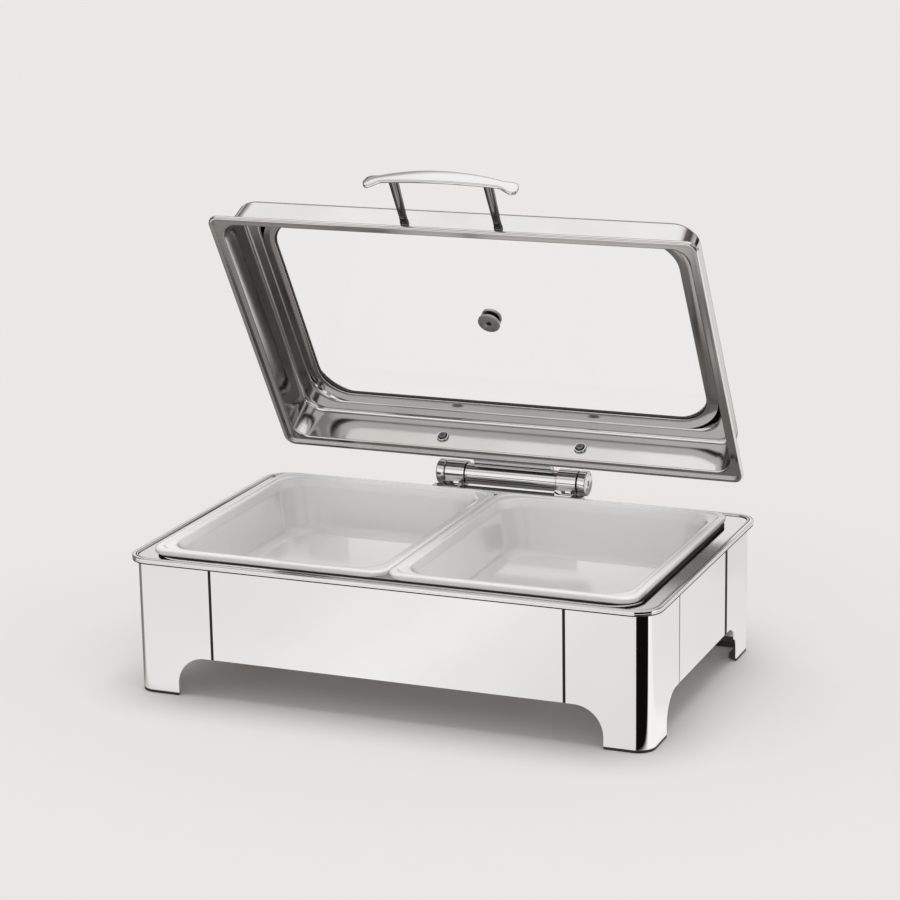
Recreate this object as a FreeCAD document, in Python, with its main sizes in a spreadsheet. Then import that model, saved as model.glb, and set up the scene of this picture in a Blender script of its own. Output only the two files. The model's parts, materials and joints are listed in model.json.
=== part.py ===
import FreeCAD, Part
import math
import os
import re

import Sketcher

# Glass-lid chafing dish with two half-size porcelain pans, in millimetres.
# X runs to the right, Y to the back and Z up. The origin is on the table, under the middle of the stand.

SIZES = {
    # Stand: outer rim, walls and feet
    "rim_length": 580.0,
    "rim_depth": 364.0,
    "stand_height": 148.0,
    "rim_corner": 27.0,
    "bead_height": 5.0,
    "bead_round": 2.2,
    "box_inset": 7.0,
    "wall": 1.2,
    "leg_corner": 18.5,
    "leg_run_side": 88.0,
    "leg_run_back": 92.7,
    "seam_gap": 2.5,
    "foot_run_side": 48.5,
    "foot_run_back": 52.5,
    "arch_top": 43.5,
    "arch_radius": 31.0,
    "hem_width": 9.0,
    "strip_width": 26.0,
    "strip_thickness": 1.5,
    "ledge_drop": 1.8,
    "skirt_height": 12.0,
    "foot_plate": 2.0,
    "rubber_height": 3.0,
    "foot_lip": 9.0,
    "lip_setback": 1.5,
    "foot_chamfer": 6.0,
    "rubber_lap": 1.2,
    "rubber_cover": 1.2,
    "rubber_stud_radius": 2.3,
    "stud_inset": 5.8,
    "stud_setback": 34.0,
    "seat_gap": 0.3,
    "hole_play": 0.1,
    # Well and water pan
    "well_edge_side": 33.5,
    "well_edge_front": 20.5,
    "well_edge_back": 36.5,
    "well_corner": 30.0,
    "water_sheet": 1.0,
    "water_flange_lap": 6.5,
    "water_body_play": 2.0,
    "water_draft": 6.0,
    "water_depth": 72.0,
    "water_rib_inset": 2.0,
    "water_rib_width": 3.0,
    "water_rib_height": 1.7,
    "bar_half_width": 8.0,
    "bar_web_half": 1.2,
    "bar_web_depth": 8.0,
    # Food pans: two half-size pans side by side
    "food_overhang": 8.5,
    "food_rim_height": 7.0,
    "food_rim_corner": 17.0,
    "food_rim_round": 2.4,
    "food_body_inset": 14.0,
    "food_mouth_inset": 13.0,
    "food_mouth_corner": 26.0,
    "food_wall": 4.5,
    "food_draft": 8.5,
    "food_height": 65.0,
    "food_floor": 5.0,
    "food_bend": 7.0,
    # Burner bay
    "burner_gap": 11.2,
    "shelf_edge_side": 130.0,
    "shelf_half_depth": 64.0,
    "shelf_corner": 13.0,
    "hanger_thickness": 2.0,
    "hanger_width": 18.0,
    "hanger_inset": 15.0,
    "shelf_play": 2.0,
    "cup_inset": 64.0,
    "cup_radius": 43.0,
    "cup_height": 38.0,
    "cup_wall": 1.2,
    "cup_ring_height": 3.0,
    "cover_radius": 47.5,
    "cover_thickness": 1.5,
    "cover_pin_offset": 52.0,
    "cover_pin_radius": 3.0,
    "cover_post_radius": 6.0,
    "cover_cap_radius": 4.5,
    "cover_eye_radius": 7.0,
    "pin_play": 0.06,
    # Hinge
    "hinge_behind": 16.0,
    "hinge_rise": 13.0,
    "barrel_radius": 12.0,
    "barrel_half": 54.3,
    "barrel_bore": 8.0,
    "ring_radius": 14.0,
    "ring_width": 22.7,
    "hinge_gap": 1.0,
    "cap_width": 10.0,
    "cap_bevel": 1.0,
    "cap_recess_radius": 3.2,
    "cap_recess_depth": 1.6,
    "axle_radius": 6.0,
    "bush_length": 14.0,
    "running_play": 0.06,
    "rotor_half": 14.0,
    "spring_start": 16.0,
    "spring_length": 22.0,
    "spring_play": 0.4,
    "base_plate": 2.5,
    "base_lap": 10.0,
    "base_rear_gap": 0.3,
    "base_jog_drop": 10.0,
    "base_jog_height": 7.0,
    "base_drop": 50.0,
    "ring_foot_lap": 7.5,
    "ring_foot_rise": 9.0,
    "ring_foot_inset": 1.8,
    "backing_half": 84.0,
    "backing_height": 28.0,
    "hinge_bolt_outer": 70.0,
    "hinge_bolt_inner": 26.0,
    "bolt_radius": 2.5,
    "bolt_head_radius": 4.6,
    "bolt_head_height": 3.0,
    "nut_radius": 4.6,
    "nut_height": 4.0,
    # Lid, given as it lies closed
    "lid_edge_side": 17.0,
    "lid_edge_front": 9.0,
    "lid_edge_back": 10.0,
    "lid_gap": 0.6,
    "lid_corner": 13.0,
    "lid_open_angle": 58.5,
    "lid_sheet": 1.0,
    "lid_bead": 5.0,
    "lid_bead_round": 2.2,
    "lid_flange_low": 3.0,
    "lid_wall_inset": 11.5,
    "lid_wall_lean": 1.5,
    "lid_wall_height": 39.4,
    "lid_bend": 4.6,
    "lid_shoulder": 11.0,
    "lid_shoulder_rise": 0.5,
    "lid_riser_lean": 1.8,
    "lid_riser_height": 6.6,
    "lid_ring_width": 9.5,
    "lid_wall_corner": 22.0,
    "lid_ring_corner": 44.0,
    "lid_bend_corner": 26.0,
    "lid_shoulder_corner": 30.0,
    "window_corner": 52.0,
    "glass_thickness": 4.0,
    "glass_margin": 2.5,
    "gasket_lip": 0.6,
    "gasket_show": 0.6,
    "retainer_width": 12.8,
    "retainer_thickness": 1.3,
    "retainer_play": 0.3,
    # Vent plug in the middle of the glass
    "vent_inner_seal": 2.6,
    "vent_face_radius": 12.5,
    "vent_face_thickness": 2.5,
    "vent_face_bevel": 0.5,
    "vent_seal_radius": 9.5,
    "vent_stem_radius": 4.0,
    "vent_hole_radius": 5.0,
    "vent_socket_radius": 3.2,
    "vent_socket_depth": 1.6,
    "vent_outer_seal": 1.0,
    "vent_nut_radius": 11.5,
    "vent_nut_height": 3.4,
    "vent_stem_end": 1.0,
    # Handle
    "post_inset": 32.8,
    "post_height": 21.5,
    "post_base_radius": 6.4,
    "post_base_thickness": 1.5,
    "post_neck_radius": 4.5,
    "post_top_radius": 5.2,
    "post_groove": 0.5,
    "post_groove_at": 9.0,
    "post_hole_depth": 12.0,
    "grip_half_length": 85.3,
    "grip_reach": 53.0,
    "grip_bow": 10.0,
    "grip_thickness": 4.0,
    "grip_height": 23.6,
    "grip_mid_half": 9.0,
    "grip_neck_half": 5.4,
    "grip_neck_back": 17.3,
    "grip_lobe_half": 9.2,
    "grip_lobe_back": 11.3,
    "grip_lobe_radius": 10.4,
    "grip_neck_radius": 9.0,
    # Screws that hold the lid to the hinge
    "leaf_screw_offset": 82.0,
    "leaf_screw_height": 20.0,
    "leaf_thickness": 2.5,
    "leaf_half": 98.0,
    "leaf_low": 7.0,
    "leaf_high": 34.0,
    "arm_half": 46.0,
    "arm_rise": 5.5,
    "arm_thickness": 5.5,
    "cup_washer_radius": 7.2,
    "cup_washer_height": 2.2,
    "cup_washer_rim": 1.6,
    "cup_washer_floor": 0.9,
    "cup_washer_taper": 0.4,
    "lid_screw_radius": 2.5,
    "lid_screw_head_radius": 4.2,
    "lid_screw_head_height": 2.6,
    "lid_screw_socket_radius": 1.5,
    "lid_screw_reach": 6.0,
}

doc = FreeCAD.newDocument("ChafingDish")
sheet = doc.addObject("Spreadsheet::Sheet", "Sizes")
for row, (alias, number) in enumerate(SIZES.items(), start=1):
    sheet.set(f"A{row}", alias)
    sheet.set(f"B{row}", str(number))
    sheet.setAlias(f"B{row}", alias)
doc.recompute()

BEND_ANGLES = (0, 45, 90)
LEVEL_TOLERANCE = 0.01
PLANES = {"XY": "XY_Plane", "XZ": "XZ_Plane", "YZ": "YZ_Plane"}
subparts = []


# Expressions name sizes by their plain alias, and this adds the sheet's name
def full(text):
    return re.sub(r"[a-z]+(?:_[a-z]+)+|\bwall\b", lambda word: "Sizes." + word.group(0), str(text))


def value(text):
    return float(sheet.evalExpression(full(text)))


def bind(item, name, text):
    item.setExpression(name, full(text))


# A corner of an outline is reached by a straight line, or by an arc that turns left or right
def corner(across, along):
    return {"x": across, "y": along}


def bend(across, along, radius, turn=1):
    return {"x": across, "y": along, "radius": radius, "turn": turn}


def circle(across, along, radius):
    return {"x": across, "y": along, "circle": radius}


def roundRect(low_x, low_y, high_x, high_y, radius):
    return [
        bend(f"{low_x} + {radius}", low_y, radius),
        corner(f"{high_x} - {radius}", low_y),
        bend(high_x, f"{low_y} + {radius}", radius),
        corner(high_x, f"{high_y} - {radius}"),
        bend(f"{high_x} - {radius}", high_y, radius),
        corner(f"{low_x} + {radius}", high_y),
        bend(low_x, f"{high_y} - {radius}", radius),
        corner(low_x, f"{low_y} + {radius}"),
    ]


def arcBetween(start, end, radius, turn):
    chord = end - start
    middle = (start + end) * 0.5
    rise = math.sqrt(max(radius * radius - chord.Length * chord.Length / 4, 0.0))
    left = FreeCAD.Vector(-chord.y, chord.x, 0).normalize()
    centre = middle + left * rise * turn
    first, last = (start, end) if turn > 0 else (end, start)
    low = math.atan2(first.y - centre.y, first.x - centre.x)
    high = math.atan2(last.y - centre.y, last.x - centre.x)
    if high < low:
        high += 2 * math.pi
    return Part.ArcOfCircle(Part.Circle(centre, FreeCAD.Vector(0, 0, 1), radius), low, high)


def pin(sketch, kind, geometry, point, text):
    number = sketch.addConstraint(Sketcher.Constraint(kind, -1, 1, geometry, point, value(text)))
    sketch.setExpression(f"Constraints[{number}]", full(text))


def drawCircle(sketch, item):
    centre = FreeCAD.Vector(value(item["x"]), value(item["y"]), 0)
    ring = Part.Circle(centre, FreeCAD.Vector(0, 0, 1), value(item["circle"]))
    geometry = sketch.addGeometry(ring, False)
    pin(sketch, "DistanceX", geometry, 3, item["x"])
    pin(sketch, "DistanceY", geometry, 3, item["y"])
    number = sketch.addConstraint(Sketcher.Constraint("Radius", geometry, value(item["circle"])))
    sketch.setExpression(f"Constraints[{number}]", full(item["circle"]))


def drawOutline(sketch, outline):
    points = [FreeCAD.Vector(value(item["x"]), value(item["y"]), 0) for item in outline]
    count = len(outline)
    ends = []
    for index in range(count):
        target = (index + 1) % count
        item = outline[target]
        start, end = points[index], points[target]
        if "radius" in item:
            radius = value(item["radius"])
            geometry = sketch.addGeometry(arcBetween(start, end, radius, item["turn"]), False)
            number = sketch.addConstraint(Sketcher.Constraint("Radius", geometry, radius))
            sketch.setExpression(f"Constraints[{number}]", full(item["radius"]))
            ends.append((geometry, 1, 2) if item["turn"] > 0 else (geometry, 2, 1))
        else:
            geometry = sketch.addGeometry(Part.LineSegment(start, end), False)
            ends.append((geometry, 1, 2))
    for index, (geometry, first, last) in enumerate(ends):
        following, start, end = ends[(index + 1) % count]
        sketch.addConstraint(Sketcher.Constraint("Coincident", geometry, last, following, start))
        pin(sketch, "DistanceX", geometry, first, outline[index]["x"])
        pin(sketch, "DistanceY", geometry, first, outline[index]["y"])


def newSketch(body, plane, offset, outline):
    sketch = body.newObject("Sketcher::SketchObject", "Outline")
    origin = [item for item in body.Origin.OriginFeatures if item.Role == PLANES[plane]][0]
    sketch.AttachmentSupport = [(origin, "")]
    sketch.MapMode = "FlatFace"
    bind(sketch, "AttachmentOffset.Base.z", offset)
    circles = [item for item in outline if "circle" in item]
    for item in circles:
        drawCircle(sketch, item)
    if len(circles) < len(outline):
        drawOutline(sketch, outline)
    return sketch


# The normal of the XZ plane points to the front, so its offset runs the other way
def spanStart(plane, low, high):
    return f"-({high})" if plane == "XZ" else low


def newBody(label):
    body = doc.addObject("PartDesign::Body", label)
    body.Label = label
    return body


def addPad(body, plane, outline, low, high):
    feature = body.newObject("PartDesign::Pad", "Pad")
    feature.Profile = newSketch(body, plane, spanStart(plane, low, high), outline)
    bind(feature, "Length", f"({high}) - ({low})")
    doc.recompute()
    return feature


def addPocket(body, plane, outline, low, high):
    before = body.Shape.Volume
    feature = body.newObject("PartDesign::Pocket", "Pocket")
    feature.Profile = newSketch(body, plane, spanStart(plane, low, high), outline)
    feature.Reversed = True
    bind(feature, "Length", f"({high}) - ({low})")
    doc.recompute()
    if body.Shape.Volume >= before:
        raise RuntimeError(f"a pocket of {body.Label} cuts nothing")
    return feature


def addLoft(body, sections, kind):
    feature = body.newObject(f"PartDesign::{kind}Loft", "Loft")
    sketches = [newSketch(body, "XY", level, outline) for level, outline in sections]
    feature.Profile = sketches[0]
    feature.Sections = sketches[1:]
    feature.Ruled = True
    doc.recompute()
    return feature


def addFillet(body, radius, wanted):
    base = body.Tip
    names = [f"Edge{number}" for number, edge in enumerate(base.Shape.Edges, start=1) if wanted(edge)]
    feature = body.newObject("PartDesign::Fillet", "Fillet")
    feature.Base = (base, names)
    bind(feature, "Radius", radius)
    doc.recompute()
    return feature


# Edges that lie at one level, on the outside or on the inside of a ring
def edgesAt(level, half_length, side):
    height = value(level)
    limit = value(half_length)

    def wanted(edge):
        box = edge.BoundBox
        flat = max(abs(box.ZMin - height), abs(box.ZMax - height)) < LEVEL_TOLERANCE
        reach = max(abs(box.XMin), abs(box.XMax)) / limit
        return flat and (reach > 1 if side == "outside" else reach < 1)

    return wanted


def keep(item, label, place=None):
    item.Label = label
    if place is not None:
        item.Placement = place
    subparts.append(item)
    return item


def prism(label, plane, outline, low, high):
    body = newBody(label)
    addPad(body, plane, outline, low, high)
    return body


# A body of revolution is drawn as radius and height, about the Z axis of its own frame
def turned(label, outline):
    body = newBody(label)
    feature = body.newObject("PartDesign::Revolution", "Revolution")
    sketch = newSketch(body, "XZ", "0", outline)
    feature.Profile = sketch
    feature.ReferenceAxis = (sketch, ["V_Axis"])
    feature.Angle = 360
    doc.recompute()
    return body


def block(name, low, high):
    box = doc.addObject("Part::Box", name)
    for axis, side, start, end in zip("xyz", ("Length", "Width", "Height"), low, high):
        bind(box, side, f"({end}) - ({start})")
        bind(box, f"Placement.Base.{axis}", start)
    return box


DIRECTIONS = {
    "x": FreeCAD.Rotation(FreeCAD.Vector(0, 1, 0), 90),
    "y": FreeCAD.Rotation(FreeCAD.Vector(1, 0, 0), -90),
    "z": FreeCAD.Rotation(),
}


def rod(name, radius, length, at, along="z"):
    cylinder = doc.addObject("Part::Cylinder", name)
    bind(cylinder, "Radius", radius)
    bind(cylinder, "Height", length)
    cylinder.Placement = FreeCAD.Placement(FreeCAD.Vector(), DIRECTIONS[along])
    for axis, text in zip("xyz", at):
        bind(cylinder, f"Placement.Base.{axis}", text)
    return cylinder


def fuse(name, pieces):
    item = doc.addObject("Part::MultiFuse", name)
    item.Shapes = pieces
    return item


def cut(name, base, tool):
    item = doc.addObject("Part::Cut", name)
    item.Base = base
    item.Tool = tool
    return item


def group(name, pieces):
    item = doc.addObject("Part::Compound", name)
    item.Links = pieces
    return item


# Placements, all worked out from the sheet
def lidOpen():
    axis_point = FreeCAD.Vector(0, value(hinge_y), value(hinge_z))
    turn = FreeCAD.Rotation(FreeCAD.Vector(1, 0, 0), -value("lid_open_angle"))
    return FreeCAD.Placement(FreeCAD.Vector(), turn, axis_point)


def wallLean():
    return math.degrees(math.atan2(value("lid_wall_lean"), value("lid_wall_height")))


# Depth of the wall's inner face, with a little play
inner_face = "-lid_sheet - hole_play / 2"


# A frame whose Z axis leaves the lid's leaning wall square to it, at a height above the flange.
# Side +1 is the rear wall and -1 the front wall; out +1 points away from the lid and -1 into it.
def onLidWall(across, height, depth, side, out):
    share = (value(height) - value("lid_flange_low")) / value("lid_wall_height")
    inset = value("lid_wall_inset") + share * value("lid_wall_lean")
    reach = value(lid_y) - inset
    tilt = math.radians(wallLean())
    outward = FreeCAD.Vector(0, side * math.cos(tilt), math.sin(tilt))
    along = value(lid_centre) + side * reach
    point = FreeCAD.Vector(value(across), along, value(lid_base) + value(height))
    point = point + outward * value(depth)
    turn = FreeCAD.Rotation(FreeCAD.Vector(0, 0, 1), outward * out)
    return FreeCAD.Placement(point, turn)


# The well, the pans, the lid and the hinge take their places from the stand's rim
rim_back = "(rim_depth / 2)"
well_x = "(rim_length / 2 - well_edge_side)"
well_y = "((rim_depth - well_edge_front - well_edge_back) / 2)"
pan_y = "((well_edge_front - well_edge_back) / 2)"
flange_x = f"({well_x} + water_flange_lap)"
flange_y = f"({well_y} + water_flange_lap)"
water_x = f"({well_x} - water_body_play)"
water_y = f"({well_y} - water_body_play)"
water_bottom = "(stand_height - water_depth)"
food_x = f"({well_x} + food_overhang)"
food_y = f"({well_y} + food_overhang)"
lid_x = "(rim_length / 2 - lid_edge_side)"
lid_y = "((rim_depth - lid_edge_front - lid_edge_back) / 2)"
lid_centre = "((lid_edge_front - lid_edge_back) / 2)"
post_offset = "(grip_half_length - post_inset)"
hinge_y = f"({rim_back} + hinge_behind)"
hinge_z = "(stand_height + hinge_rise)"

# Stand
box_x = "(rim_length / 2 - box_inset)"
box_y = "(rim_depth / 2 - box_inset)"
ledge_top = "(stand_height - ledge_drop)"
ledge_low = "(stand_height - ledge_drop - wall)"
front = -1
rear = 1
left = -1
right = 1
SIDE_NAMES = {(-1, -1): "front_left", (1, -1): "front_right", (-1, 1): "rear_left", (1, 1): "rear_right"}


def legPlan(side, end):
    turn = -side * end
    return [
        corner(f"{side} * ({box_x} - leg_run_side)", f"{end} * {box_y}"),
        corner(f"{side} * ({box_x} - leg_corner)", f"{end} * {box_y}"),
        bend(f"{side} * {box_x}", f"{end} * ({box_y} - leg_corner)", "leg_corner", turn),
        corner(f"{side} * {box_x}", f"{end} * ({box_y} - leg_run_back)"),
        corner(f"{side} * ({box_x} - wall)", f"{end} * ({box_y} - leg_run_back)"),
        corner(f"{side} * ({box_x} - wall)", f"{end} * ({box_y} - leg_corner)"),
        bend(f"{side} * ({box_x} - leg_corner)", f"{end} * ({box_y} - wall)", "leg_corner - wall", -turn),
        corner(f"{side} * ({box_x} - leg_run_side)", f"{end} * ({box_y} - wall)"),
    ]


# A strip along the wall of a foot, between two distances behind the wall's outer face.
# Its ends slope back, and can stop short of the foot's ends.
def footPlan(side, end, outer, inner, setback="0"):
    turn = -side * end
    side_end = f"foot_run_side - {setback}"
    back_end = f"foot_run_back - {setback}"
    outer_bend = f"leg_corner - {outer}"
    inner_bend = f"leg_corner - ({inner})"
    return [
        corner(f"{side} * ({box_x} - ({side_end}))", f"{end} * ({box_y} - {outer})"),
        corner(f"{side} * ({box_x} - leg_corner)", f"{end} * ({box_y} - {outer})"),
        bend(f"{side} * ({box_x} - {outer})", f"{end} * ({box_y} - leg_corner)", outer_bend, turn),
        corner(f"{side} * ({box_x} - {outer})", f"{end} * ({box_y} - ({back_end}))"),
        corner(f"{side} * ({box_x} - ({inner}))", f"{end} * ({box_y} - ({back_end} - foot_chamfer))"),
        corner(f"{side} * ({box_x} - ({inner}))", f"{end} * ({box_y} - leg_corner)"),
        bend(f"{side} * ({box_x} - leg_corner)", f"{end} * ({box_y} - ({inner}))", inner_bend, -turn),
        corner(f"{side} * ({box_x} - ({side_end} - foot_chamfer))", f"{end} * ({box_y} - ({inner}))"),
    ]


# Two studs of each rubber foot pass through the lip of its leg
def footStuds(side, end, radius):
    return [
        circle(f"{side} * ({box_x} - stud_setback)", f"{end} * ({box_y} - stud_inset)", radius),
        circle(f"{side} * ({box_x} - stud_inset)", f"{end} * ({box_y} - stud_setback)", radius),
    ]


# The arch between two feet is a round-cornered window that runs out through the bottom
def archOutline(reach):
    return roundRect(f"-({reach})", "-arch_top", f"({reach})", "arch_top", "arch_radius")


def makeLeg(side, end):
    body = prism("leg_" + SIDE_NAMES[side, end], "XY", legPlan(side, end), "rubber_height", ledge_low)
    addPocket(body, "XZ", archOutline(f"{box_x} - foot_run_side"), f"-{box_y} - wall", f"{box_y} + wall")
    addPocket(body, "YZ", archOutline(f"{box_y} - foot_run_back"), f"-{box_x} - wall", f"{box_x} + wall")
    lip_top = "rubber_height + foot_plate"
    addPad(body, "XY", footPlan(side, end, "wall", "foot_lip", "lip_setback"), "rubber_height", lip_top)
    addPocket(body, "XY", footStuds(side, end, "rubber_stud_radius + hole_play"), "rubber_height", lip_top)
    keep(body, body.Label)


# A rubber foot is a shoe that wraps the lip of its leg
def makeRubberFoot(side, end):
    name = "rubber_foot_" + SIDE_NAMES[side, end]
    lip_top = "rubber_height + foot_plate"
    reach = "foot_lip + rubber_lap"
    body = prism(name, "XY", footPlan(side, end, "0", reach), "0", "rubber_height")
    addPad(body, "XY", footPlan(side, end, "wall", reach), "rubber_height", f"{lip_top} + rubber_cover")
    addPocket(body, "XY", footPlan(side, end, "wall", "foot_lip", "lip_setback"), "rubber_height", lip_top)
    addPad(body, "XY", footStuds(side, end, "rubber_stud_radius"), "rubber_height", lip_top)
    keep(body, name)


# An apron is a sheet with its lower edge folded inwards
def apronProfile(outer, sign):
    return [
        corner(f"{sign} * {outer}", "arch_top"),
        corner(f"{sign} * {outer}", ledge_low),
        corner(f"{sign} * ({outer} - wall)", ledge_low),
        corner(f"{sign} * ({outer} - wall)", "arch_top + wall"),
        corner(f"{sign} * ({outer} - hem_width)", "arch_top + wall"),
        corner(f"{sign} * ({outer} - hem_width)", "arch_top"),
    ]


# The hinge bolts sit half way up the plate that backs them
bolt_z = "(stand_height - base_drop + backing_height / 2)"


def boltPlaces():
    return [f"{side} * {offset}" for side in (-1, 1) for offset in ("hinge_bolt_outer", "hinge_bolt_inner")]


def boltHoles():
    return [circle(across, bolt_z, "bolt_radius + hole_play") for across in boltPlaces()]


def makeAprons():
    half = f"{box_x} - leg_run_side - seam_gap"
    for name, end in (("apron_front", -1), ("apron_rear", 1)):
        body = prism(name, "YZ", apronProfile(box_y, end), f"-({half})", half)
        if end > 0:
            addPocket(body, "XZ", boltHoles(), f"{box_y} - 2 * wall", f"{box_y} + wall")
        keep(body, name)
    half = f"{box_y} - leg_run_back - seam_gap"
    for name, side in (("apron_left", -1), ("apron_right", 1)):
        keep(prism(name, "XZ", apronProfile(box_x, side), f"-({half})", half), name)


# Two strips behind the seams of each side tie the legs to the apron
def makeSeamStrips():
    low = "arch_top + 2 * wall"
    high = f"{ledge_low} - skirt_height - wall"
    half = "strip_width / 2"
    for name, end in (("seam_strips_front", -1), ("seam_strips_rear", 1)):
        pieces = []
        for side in (-1, 1):
            middle = f"{side} * ({box_x} - leg_run_side - seam_gap / 2)"
            outer = f"{end} * ({box_y} - wall)"
            inner = f"{end} * ({box_y} - wall - strip_thickness)"
            near, far = (outer, inner) if end < 0 else (inner, outer)
            start = (f"{middle} - {half}", near, low)
            pieces.append(block("Strip", start, (f"{middle} + {half}", far, high)))
        keep(group(name, pieces), name)
    for name, side in (("seam_strips_left", -1), ("seam_strips_right", 1)):
        pieces = []
        for end in (-1, 1):
            middle = f"{end} * ({box_y} - leg_run_back - seam_gap / 2)"
            outer = f"{side} * ({box_x} - wall)"
            inner = f"{side} * ({box_x} - wall - strip_thickness)"
            near, far = (outer, inner) if side < 0 else (inner, outer)
            start = (near, f"{middle} - {half}", low)
            pieces.append(block("Strip", start, (far, f"{middle} + {half}", high)))
        keep(group(name, pieces), name)


def ringOutline(half_x, half_y, radius):
    return roundRect(f"-({half_x})", f"-({half_y})", f"({half_x})", f"({half_y})", f"({radius})")


def wellOutline(half_x, half_y, radius):
    return roundRect(f"-({half_x})", f"{pan_y} - ({half_y})", f"({half_x})", f"{pan_y} + ({half_y})",
                     f"({radius})")


def makeRim():
    body = newBody("rim_frame")
    low = "stand_height - bead_height"
    outer = ringOutline("rim_length / 2", "rim_depth / 2", "rim_corner")
    inside_wall = ringOutline(f"{box_x} - wall", f"{box_y} - wall", "leg_corner - wall")
    skirt_inside = ringOutline(f"{box_x} - 2 * wall", f"{box_y} - 2 * wall", "leg_corner - 2 * wall")
    box = ringOutline(box_x, box_y, "leg_corner")
    addPad(body, "XY", outer, low, "stand_height")
    addPocket(body, "XY", box, low, "stand_height")
    addFillet(body, "bead_round", edgesAt("stand_height", "rim_length / 2 - box_inset / 2", "outside"))
    addFillet(body, "bead_round", edgesAt(low, "rim_length / 2 - box_inset / 2", "outside"))
    addPad(body, "XY", box, ledge_low, ledge_top)
    well = wellOutline(well_x, well_y, "well_corner")
    addPocket(body, "XY", well, ledge_low, ledge_top)
    skirt = body.newObject("PartDesign::Pad", "Skirt")
    skirt.Profile = newSketch(body, "XY", f"{ledge_low} - skirt_height", inside_wall)
    bind(skirt, "Length", "skirt_height")
    doc.recompute()
    addPocket(body, "XY", skirt_inside, f"{ledge_low} - skirt_height", ledge_low)
    keep(body, "rim_frame")


# Water pan, its divider bar and the food pans
water_low = f"({ledge_top} + seat_gap)"
water_top = f"({ledge_top} + seat_gap + water_sheet)"
rib_top = f"({ledge_top} + seat_gap + water_sheet + water_rib_height)"
food_low = f"({ledge_top} + 2 * seat_gap + water_sheet + water_rib_height)"
food_top = f"({ledge_top} + 2 * seat_gap + water_sheet + water_rib_height + food_rim_height)"


def makeWaterPan():
    body = newBody("water_pan")
    flange = wellOutline(flange_x, flange_y, "well_corner")
    outer_top = wellOutline(water_x, water_y, "well_corner")
    outer_low = wellOutline(f"{water_x} - water_draft", f"{water_y} - water_draft",
                            "well_corner")
    inner_top = wellOutline(f"{water_x} - water_sheet", f"{water_y} - water_sheet",
                            "well_corner - water_sheet")
    inner_low = wellOutline(f"{water_x} - water_draft - water_sheet",
                            f"{water_y} - water_draft - water_sheet", "well_corner - water_sheet")
    rib_outer = wellOutline(f"{flange_x} - water_rib_inset", f"{flange_y} - water_rib_inset",
                            "well_corner - water_rib_inset")
    rib_inner = wellOutline(f"{flange_x} - water_rib_inset - water_rib_width",
                            f"{flange_y} - water_rib_inset - water_rib_width",
                            "well_corner - water_rib_inset - water_rib_width")
    addPad(body, "XY", flange, water_low, water_top)
    addPad(body, "XY", rib_outer, water_top, rib_top)
    addPocket(body, "XY", rib_inner, water_top, rib_top)
    addLoft(body, [(water_bottom, outer_low), (water_top, outer_top)], "Additive")
    addLoft(body, [(f"{water_bottom} + water_sheet", inner_low), (water_top, inner_top)], "Subtractive")
    keep(body, "water_pan")


def makeDividerBar():
    end = f"{flange_y} - water_rib_inset - water_rib_width - seat_gap"
    web_end = f"{water_y} - water_draft"
    low_y = f"{pan_y} - ({end})"
    high_y = f"{pan_y} + ({end})"
    flat = block("Flat", ("-bar_half_width", low_y, water_top), ("bar_half_width", high_y, rib_top))
    web = block("Web", ("-bar_web_half", f"{pan_y} - ({web_end})", f"{water_top} - bar_web_depth"),
                ("bar_web_half", f"{pan_y} + ({web_end})", water_top))
    keep(fuse("pan_divider_bar", [flat, web]), "pan_divider_bar")


# A food pan outline at an inset from its outer edge; side -1 is the left pan
def foodOutline(side, inset, radius):
    near = f"(seat_gap + {inset})"
    far = f"({food_x} - {inset})"
    low, high = (near, far) if side > 0 else (f"(-{far})", f"(-{near})")
    reach = f"({food_y} - {inset})"
    return roundRect(low, f"({pan_y} - {reach})", high, f"({pan_y} + {reach})", f"({radius})")


# The round between a pan's floor and its wall, from the floor up
def bendSections(side, level, inset, radius):
    sections = []
    for degrees in BEND_ANGLES:
        across = f"{1 - math.sin(math.radians(degrees)):.4f}"
        rise = f"{1 - math.cos(math.radians(degrees)):.4f}"
        outline = foodOutline(side, f"({inset} + {across} * {radius})", "food_mouth_corner")
        sections.append((f"{level} + {rise} * {radius}", outline))
    return sections


def makeFoodPan(name, side):
    body = newBody(name)
    base = f"({food_top} - food_height)"
    floor = f"({food_top} - food_height + food_floor)"
    wall_inset = "(food_body_inset + food_wall)"
    addPad(body, "XY", foodOutline(side, "0", "food_rim_corner"), food_low, food_top)

    addFillet(body, "food_rim_round", edgesAt(food_top, "seat_gap / 2", "outside"))
    outside = bendSections(side, base, "(food_body_inset + food_draft)", "(food_bend + food_wall)")
    outside.append((food_low, foodOutline(side, "food_body_inset", "food_mouth_corner")))
    addLoft(body, outside, "Additive")
    inside = bendSections(side, floor, f"({wall_inset} + food_draft)", "food_bend")
    inside.append((food_low, foodOutline(side, wall_inset, "food_mouth_corner")))
    inside.append((food_top, foodOutline(side, "food_mouth_inset", "food_mouth_corner")))
    addLoft(body, inside, "Subtractive")
    keep(body, name)


lid_base = f"({food_top} + lid_gap)"


# Burner bay: two hangers on the aprons carry a shelf with two fuel cups under swivelling covers
shelf_x = "(rim_length / 2 - shelf_edge_side)"
hanger_x = f"({shelf_x} - hanger_inset)"
hanger_y = "(shelf_half_depth + shelf_play + hanger_thickness)"
cup_x = f"({shelf_x} - cup_inset)"
burner_stack = "(wall + cup_height + 2 * seat_gap + 2 * cover_thickness + burner_gap)"
shelf_z = f"({water_bottom} - {burner_stack})"
shelf_top = f"({shelf_z} + wall)"
cup_low = f"({shelf_z} + wall)"


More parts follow.
